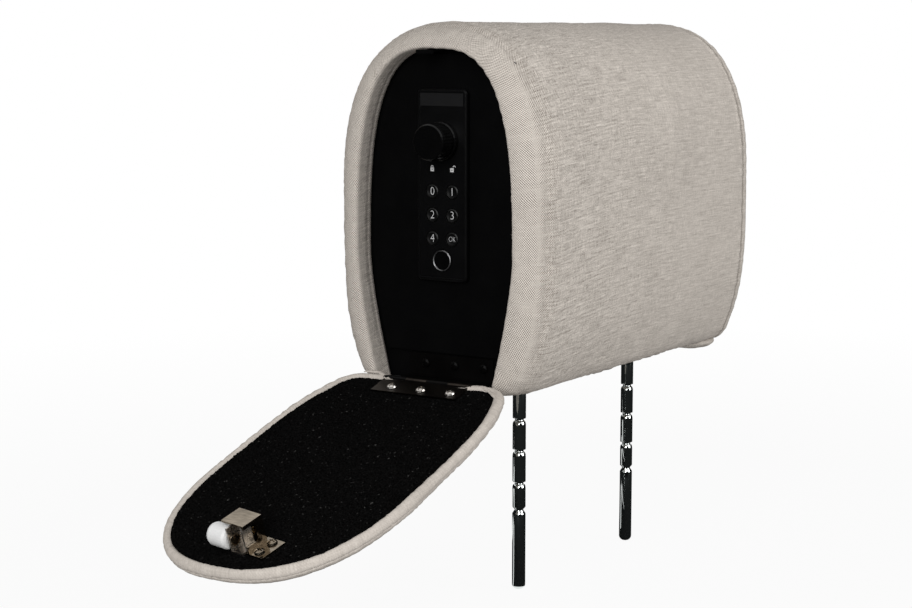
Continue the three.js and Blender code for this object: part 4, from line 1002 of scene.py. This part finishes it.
for name, points in STRIPS.items():
    uvs = [[(i * MM, k * 0.8 * MM) for k in range(STRIP_SIDES + 1)] for i in range(STRIP_STEPS)]
    strip = loft(name, strip_rings(points), uvs, close_end=True)
    with edit_mode(strip):
        bpy.ops.mesh.fill_holes(sides=0)
        bpy.ops.mesh.normals_make_consistent(inside=False)
    push(strip, lambda place: uneven(place, 1.1, 0.45) + uneven(place, 4, 0.4))
    smooth(strip)
    wear_only(strip, panel_cloth)
    settle(strip, flap_frame, "flap", "cloth")
    print(name, len(strip.data.vertices), "points")

# %% [markdown]
# Stamped and moulded pieces never end in a knife edge. Each gets a copy of its engineering mesh with
# the flat faces joined and the sharp edges rounded by a bevel.

# %% Rounded edges
FLAT_ANGLE, EDGE_ANGLE, SHARP_ANGLE = math.radians(1), math.radians(40), math.radians(32)
BRACKET_WINDOW = (4.5, -10.6, -1.5), (16.6, -8.0, 9)


def cut_window(piece, low, high):
    """Cuts a box out of a piece of the catch; its corners are in the catch's frame."""
    low, high = Vector(low), Vector(high)
    bpy.ops.mesh.primitive_cube_add(size=1)
    cutter = bpy.context.object
    box = Matrix.Translation((low + high) / 2) @ Matrix.Diagonal((*(high - low), 1))
    cutter.data.transform(catch_frame @ box)
    apply_modifier(piece, "BOOLEAN", operation="DIFFERENCE", object=cutter)
    bpy.data.objects.remove(cutter)


def rounded_copy(name, node, width, finish, body, slot, window=None):
    piece = merged_copy(name, node)
    if window:
        cut_window(piece, *window)
    with edit_mode(piece):
        bpy.ops.mesh.dissolve_limited(angle_limit=FLAT_ANGLE)
    apply_modifier(piece, "BEVEL", width=width * MM, segments=2, limit_method="ANGLE", angle_limit=EDGE_ANGLE)
    smooth(piece)
    piece.data.set_sharp_from_angle(angle=SHARP_ANGLE)
    apply_modifier(piece, "WEIGHTED_NORMAL", keep_sharp=True)
    wear_only(piece, finish)
    return settle(piece, Matrix.Identity(4), body, slot, node)


rounded_copy("stamped_bracket", "catch_bracket", 0.35, nickel, "flap", "nickel", BRACKET_WINDOW)
rounded_copy("trimmed_board", "flap_board", 3.5, raw_board, "flap", "board")
# The leaf wears the zinc painted near black, a painted reflection of the dark recess.
rounded_copy("stamped_leaf", "hinge_flap_leaf", 0.25, zinc_painted_dark_reflection, "flap", "zinc")
rounded_copy("moulded_panel", "keypad_housing", 0.4, case_plastic, "drawer", "black_plastic")
print("edges rounded")

# %% [markdown]
# Turned pieces start as a chain of points, half a section, that is spun round an axis in edit mode.
# The lowest of a post's four notches is a plain groove. The others have a square shoulder over a
# narrow neck, and a dome under it.

# %% Turned posts
SPIN_GAP = 1e-4


def turned(name, profile, sides):
    """Spins a profile of (radius, height) round the Z axis, in the piece's own units."""
    edges = [(i, i + 1) for i in range(len(profile) - 1)]
    piece = mesh_piece(name, [(r, 0, z) for r, z in profile], edges, [])
    with edit_mode(piece):
        bpy.ops.mesh.spin(steps=sides, angle=2 * math.pi, center=(0, 0, 0), axis=(0, 0, 1))
        bpy.ops.mesh.select_all(action="SELECT")
        bpy.ops.mesh.remove_doubles(threshold=SPIN_GAP)
        bpy.ops.mesh.normals_make_consistent(inside=False)
    smooth(piece)
    return piece


def arc(middle, radius, first, last, steps):
    """Points on a circle in the profile's plane, angles in degrees from the radius direction."""
    turns = [math.radians(first + (last - first) * i / steps) for i in range(steps + 1)]
    return [(middle[0] + radius * math.cos(a), middle[1] + radius * math.sin(a)) for a in turns]


POST_RADIUS, POST_NECK, POST_TIP, TIP_ROUND = 5, 3.3, -162.5, 4.1
LOWEST_NOTCH, NOTCH_HEIGHTS = 61, (81.5, 106, 129.5)
DOME_HEIGHT, DOME_STEPS, NECK_HEIGHT, SHOULDER_EDGE = 3.5, 6, 1.7, 0.35
AXIS_GAP = 0.001
THREAD_END = [(POST_RADIUS, 11.4), (4.9, 11.7), (4.1, 11.7), (4, 11.8), (4, 20.2), (3.6, 20.6),
              (AXIS_GAP, 20.6)]


def lowest_notch(middle):
    worn = POST_RADIUS - 0.12
    return [(POST_RADIUS, middle - 3.2), (worn, middle - 2.7), (POST_NECK, middle - 0.35),
            (POST_NECK, middle + 0.35), (worn, middle + 2.0), (POST_RADIUS, middle + 2.4)]


def domed_notch(middle):
    dome, shoulder = middle - NECK_HEIGHT / 2, middle + NECK_HEIGHT / 2
    brow, reach = POST_NECK + 0.1, POST_RADIUS - POST_NECK - 0.1
    turns = [math.pi / 2 * i / DOME_STEPS for i in range(DOME_STEPS + 1)]
    points = [(POST_RADIUS, dome - DOME_HEIGHT - 0.6)]
    points += [(brow + reach * math.cos(a), dome - DOME_HEIGHT + DOME_HEIGHT * math.sin(a)) for a in turns]
    return points + [(POST_NECK, dome + 0.1), (POST_NECK, shoulder - 0.1), (POST_NECK + 0.15, shoulder),
                     (POST_RADIUS - SHOULDER_EDGE, shoulder), (POST_RADIUS - 0.1, shoulder + 0.1),
                     (POST_RADIUS, shoulder + SHOULDER_EDGE), (POST_RADIUS, shoulder + 0.9)]


def post_profile():
    tip = (POST_RADIUS - TIP_ROUND, POST_TIP + TIP_ROUND)
    points = [(AXIS_GAP, POST_TIP)] + arc(tip, TIP_ROUND, -90, 0, 12)
    points += lowest_notch(POST_TIP + LOWEST_NOTCH)
    for height in NOTCH_HEIGHTS:
        points += domed_notch(POST_TIP + height)
    return points + THREAD_END


post_shape = turned("post_shape", post_profile(), 64)
for name, side in (("post_front", -1), ("post_rear", 1)):
    post = bpy.data.objects.new("turned_" + name, post_shape.data.copy())
    bpy.context.scene.collection.objects.link(post)
    wear_only(post, chrome)
    place = Matrix.Translation((HALF_LENGTH + side * POST_SPACING / 2, -POST_SETBACK, 0))
    settle(post, body_frame @ place, "root", "chrome", name)
bpy.data.objects.remove(post_shape)
print("posts", len(post.data.vertices), "points each")

# %% [markdown]
# The fingerprint pad's ring is a thin bead of satin steel, and a flat dark glass lies in it.

# %% Fingerprint ring
RING_RADIUS, RING_BEAD, RING_DEPTH = 7.0, 0.24, 1.2
SENSOR_HEIGHT, PANEL_FRONT = 91.5, 13.0
outer_edge, inner_edge = (RING_RADIUS + RING_BEAD, RING_DEPTH), (RING_RADIUS - RING_BEAD, RING_DEPTH)
bead = arc((RING_RADIUS, -0.1), RING_BEAD, 0, 180, 10)
ring = turned("chrome_ring", [outer_edge, *bead, inner_edge, outer_edge], 56)
ring.data.transform(Matrix.Scale(-1, 4, (0, 0, 1)))
ring.data.flip_normals()
wear_only(ring, satin_steel)
toward_front = Matrix.Rotation(math.radians(-90), 4, "Y")
ring_place = Matrix.Translation((PANEL_FRONT, 0, SENSOR_HEIGHT)) @ toward_front
settle(ring, body_frame @ ring_place, "drawer", "chrome", "fingerprint_ring")

# %% [markdown]
# The keys' legends are generic: digits, OK and two lock icons. Each is a text or a small shape
# turned into a mesh, laid on its key by rays that look for the key's dished face.

# %% Legends
KEY_HALF_PITCH, KEY_TOP_ROW, KEY_PITCH = 8.3, 140.0, 16.6
LEGEND_GAP = 0.06
STROKE_TRIM = -0.12
DIGIT_SIZE, WORD_SIZE = (8.2, 0.92), (5.2, 0.78)
facing = Matrix(((0, 0, -1, 0), (-1, 0, 0, 0), (0, 1, 0, 0), (0, 0, 0, 1)))


def lay_on(piece, node):
    """Moves each point of a piece, in the row's frame, along X to just in front of a node's face."""
    target = nodes[node]
    tree = BVHTree.FromPolygons([target.matrix_world @ v.co for v in target.data.vertices],
                                [tuple(f.vertices) for f in target.data.polygons])
    for vertex in piece.data.vertices:
        start = Vector((vertex.co.x - 0.05, vertex.co.y, vertex.co.z))
        hit = tree.ray_cast(start, Vector((1, 0, 0)))[0]
        if hit is not None:
            vertex.co.x = hit.x - LEGEND_GAP * MM


def legend(name, text, size, y, z, node, body, width):
    bpy.ops.object.text_add()
    piece = bpy.context.object
    piece.data.body, piece.data.size = text, size
    piece.data.align_x, piece.data.align_y, piece.data.resolution_u = "CENTER", "CENTER", 4
    piece.data.offset = STROKE_TRIM
    bpy.ops.object.convert(target="MESH")
    piece = bpy.context.object
    piece.name = name
    flat = facing @ Matrix.Scale(width, 4, (1, 0, 0))
    piece.data.transform(body_frame @ Matrix.Translation((0, y, z)) @ flat)
    lay_on(piece, node)
    wear_only(piece, legend_ink)
    settle(piece, Matrix.Identity(4), body, "nylon")
    return piece


for number, face in enumerate(KEY_FACES):
    key = "key_" + face.lower()
    row, side = KEY_TOP_ROW - KEY_PITCH * (number // 2), KEY_HALF_PITCH * (1, -1)[number % 2]
    size, width = WORD_SIZE if len(face) > 1 else DIGIT_SIZE
    legend("legend_" + face.lower(), face, size, side, row, key, key, width)
print("legends made")

ICON_HEIGHT = 155.6
ICON_SIZE = (2.9, 2.7)
ICON_FRAME = 1.0
BOW_INNER, BOW_OUTER, BOW_STEPS = 0.65, 1.2, 10
CLOSED_BOW, OPEN_BOW = (0.0, 0.3), (1.9, 0.7)


def band_faces(count):
    """Faces between two rows of points that are listed by turns."""
    return [(2 * i, 2 * i + 1, 2 * i + 3, 2 * i + 2) for i in range(count)]


def lock_icon(name, y, lifted):
    """A padlock: a body with a keyhole left bare, and a bow over it, set aside when it shows open."""
    bpy.ops.mesh.primitive_plane_add(size=1, location=(0, 0, 0))
    plate = bpy.context.object
    plate.data.transform(Matrix.Diagonal((*ICON_SIZE, 1, 1)))
    with edit_mode(plate):
        bpy.ops.mesh.inset(thickness=ICON_FRAME)
        bpy.ops.mesh.delete(type="FACE")
    turns = [math.pi * i / BOW_STEPS for i in range(BOW_STEPS + 1)]
    points = [(r * math.cos(a), r * math.sin(a), 0) for a in turns for r in (BOW_INNER, BOW_OUTER)]
    bow = mesh_piece(name + "_bow", points, [], band_faces(BOW_STEPS))
    aside, above = OPEN_BOW if lifted else CLOSED_BOW
    bow.data.transform(Matrix.Translation((aside, ICON_SIZE[1] / 2 + above, 0)))
    activate(plate)
    bow.select_set(True)
    bpy.ops.object.join()
    plate.name = name
    plate.data.transform(body_frame @ Matrix.Translation((0, y, ICON_HEIGHT)) @ facing)
    lay_on(plate, "keypad_housing")
    with edit_mode(plate):
        bpy.ops.mesh.normals_make_consistent(inside=False)
    wear_only(plate, legend_ink)
    return settle(plate, Matrix.Identity(4), "drawer", "nylon")


lock_icon("icon_locked", KEY_HALF_PITCH, False)
lock_icon("icon_unlocked", -KEY_HALF_PITCH, True)
print("icons made")

# %% [markdown]
# The stage is a plain pale floor at the posts' tips under a white surround. The light is soft: a
# large panel from the camera's left front, a weaker one from its right, and the surround.

# %% Stage and light
FLOOR_SIZE, FLOOR_HEIGHT = 60, -0.1628
GLOW_REACH = (0.45, 1.3)
WHITE = (1, 1, 1, 1)
bpy.ops.mesh.primitive_plane_add(size=FLOOR_SIZE, location=(0, 0, FLOOR_HEIGHT))
floor = bpy.context.object
floor.name = "floor"
pale = Finish("pale_floor", Base_Color=(0.5, 0.5, 0.5), Roughness=0.9, Specular_IOR_Level=0.0)
distance = pale.node("ShaderNodeVectorMath", {"operation": "LENGTH"}, {0: pale.place()})
glow_share = pale.seen() * (distance.over(*GLOW_REACH) * 0.06 + 0.94)
paint = Wire(pale, pale.shader.outputs[0])
glow = pale.node("ShaderNodeEmission", None, {"Color": WHITE, "Strength": 1.0})
mixed = pale.node("ShaderNodeMixShader", None, {0: glow_share, 1: paint, 2: glow})
pale.feed(pale.tree.nodes["Material Output"].inputs["Surface"], mixed)
wear_only(floor, pale.material)

SURROUND_LEVEL = 0.4
world = bpy.data.worlds.new("surround")
bpy.context.scene.world = world
world.use_nodes = True
surround = Nodes(world.node_tree)
sky = world.node_tree.nodes["Background"]
surround.feed(sky.inputs["Color"], WHITE)
surround.feed(sky.inputs["Strength"], surround.seen() * (1 - SURROUND_LEVEL) + SURROUND_LEVEL)

LIGHT_SIZE, LIT_PLACE = 1.5, Vector((0, 0, 0.1))


def panel_light(name, place, power):
    data = bpy.data.lights.new(name, "AREA")
    data.shape, data.size, data.energy = "SQUARE", LIGHT_SIZE, power
    light = bpy.data.objects.new(name, data)
    aim = (LIT_PLACE - Vector(place)).to_track_quat("-Z", "Y")
    light.matrix_world = Matrix.Translation(place) @ aim.to_matrix().to_4x4()
    bpy.context.scene.collection.objects.link(light)


bpy.context.scene.view_settings.view_transform = "Standard"
panel_light("key_panel", (-2.4, -0.7, 0.9), 49)
panel_light("fill_panel", (0.3, -2.3, 0.7), 26.5)

# %% [markdown]
# Chrome and black paint show what stands round them. As in the photographer's studio, black flags
# stand on the camera's side and lie on the floor there. Only reflections see them. A narrow wedge
# of the floor beside each post stays open, and draws the light streak on its lowest length.

# %% Black flags for the reflections
FLAG_NEAR, FLAG_FAR, FLAG_RISE = 0.0065, 3.2, 1.5
FLAG_SLOT = (-104, -90)
FLAG_SPREAD = 160
SLOT_REACH = 0.42
FAN_STEPS = 48
FRONT_FOOT, REAR_FOOT = Vector((-POST_SPACING / 2 * MM, 0)), Vector((POST_SPACING / 2 * MM, 0))
ground = FLOOR_HEIGHT + 0.5 * MM
black_card = Finish("flag_black", Base_Color=(0.014, 0.015, 0.015), Roughness=1.0, Specular_IOR_Level=0.0)
toward_camera = math.degrees(math.atan2(-math.cos(CAMERA_TURN), -math.sin(CAMERA_TURN)))


def flag_point(foot, radius, turn, height=ground):
    angle = math.radians(toward_camera + turn)
    return (foot.x + radius * math.cos(angle), foot.y + radius * math.sin(angle), height)


def flag(name, vertices, faces):
    card = mesh_piece(name, vertices, [], faces)
    wear_only(card, black_card.material)
    card.visible_camera = card.visible_diffuse = card.visible_transmission = card.visible_shadow = False


def fan(name, foot, inner, outer, first, last):
    """A black fan round a post's foot between two angles; inner and outer are (radius, height)."""
    turns = [first + (last - first) * i / FAN_STEPS for i in range(FAN_STEPS + 1)]
    points = [flag_point(foot, radius, turn, height) for turn in turns for radius, height in (inner, outer)]
    flag(name, points, band_faces(FAN_STEPS))


fan("standing_flag", FRONT_FOOT, (FLAG_FAR, FLOOR_HEIGHT), (FLAG_FAR, FLAG_RISE), -FLAG_SPREAD, FLAG_SPREAD)
fan("lying_flag_near", FRONT_FOOT, (FLAG_NEAR, ground), (FLAG_FAR, ground), FLAG_SLOT[1], FLAG_SPREAD)
fan("lying_flag_behind", REAR_FOOT, (FLAG_NEAR, ground), (FLAG_FAR, ground), -FLAG_SPREAD, FLAG_SLOT[0])
fan("lying_flag_far", FRONT_FOOT, (SLOT_REACH, ground), (FLAG_FAR, ground), *FLAG_SLOT)
fan("lying_flag_far_rear", REAR_FOOT, (SLOT_REACH, ground), (FLAG_FAR, ground), *FLAG_SLOT)
between = ((FRONT_FOOT, FLAG_NEAR, FLAG_SLOT[0]), (FRONT_FOOT, SLOT_REACH, FLAG_SLOT[0]),
           (REAR_FOOT, SLOT_REACH, FLAG_SLOT[1]), (REAR_FOOT, FLAG_NEAR, FLAG_SLOT[1]))
flag("lying_flag_between", [flag_point(*corner) for corner in between], [(0, 1, 2, 3)])
print("stage and light ready")
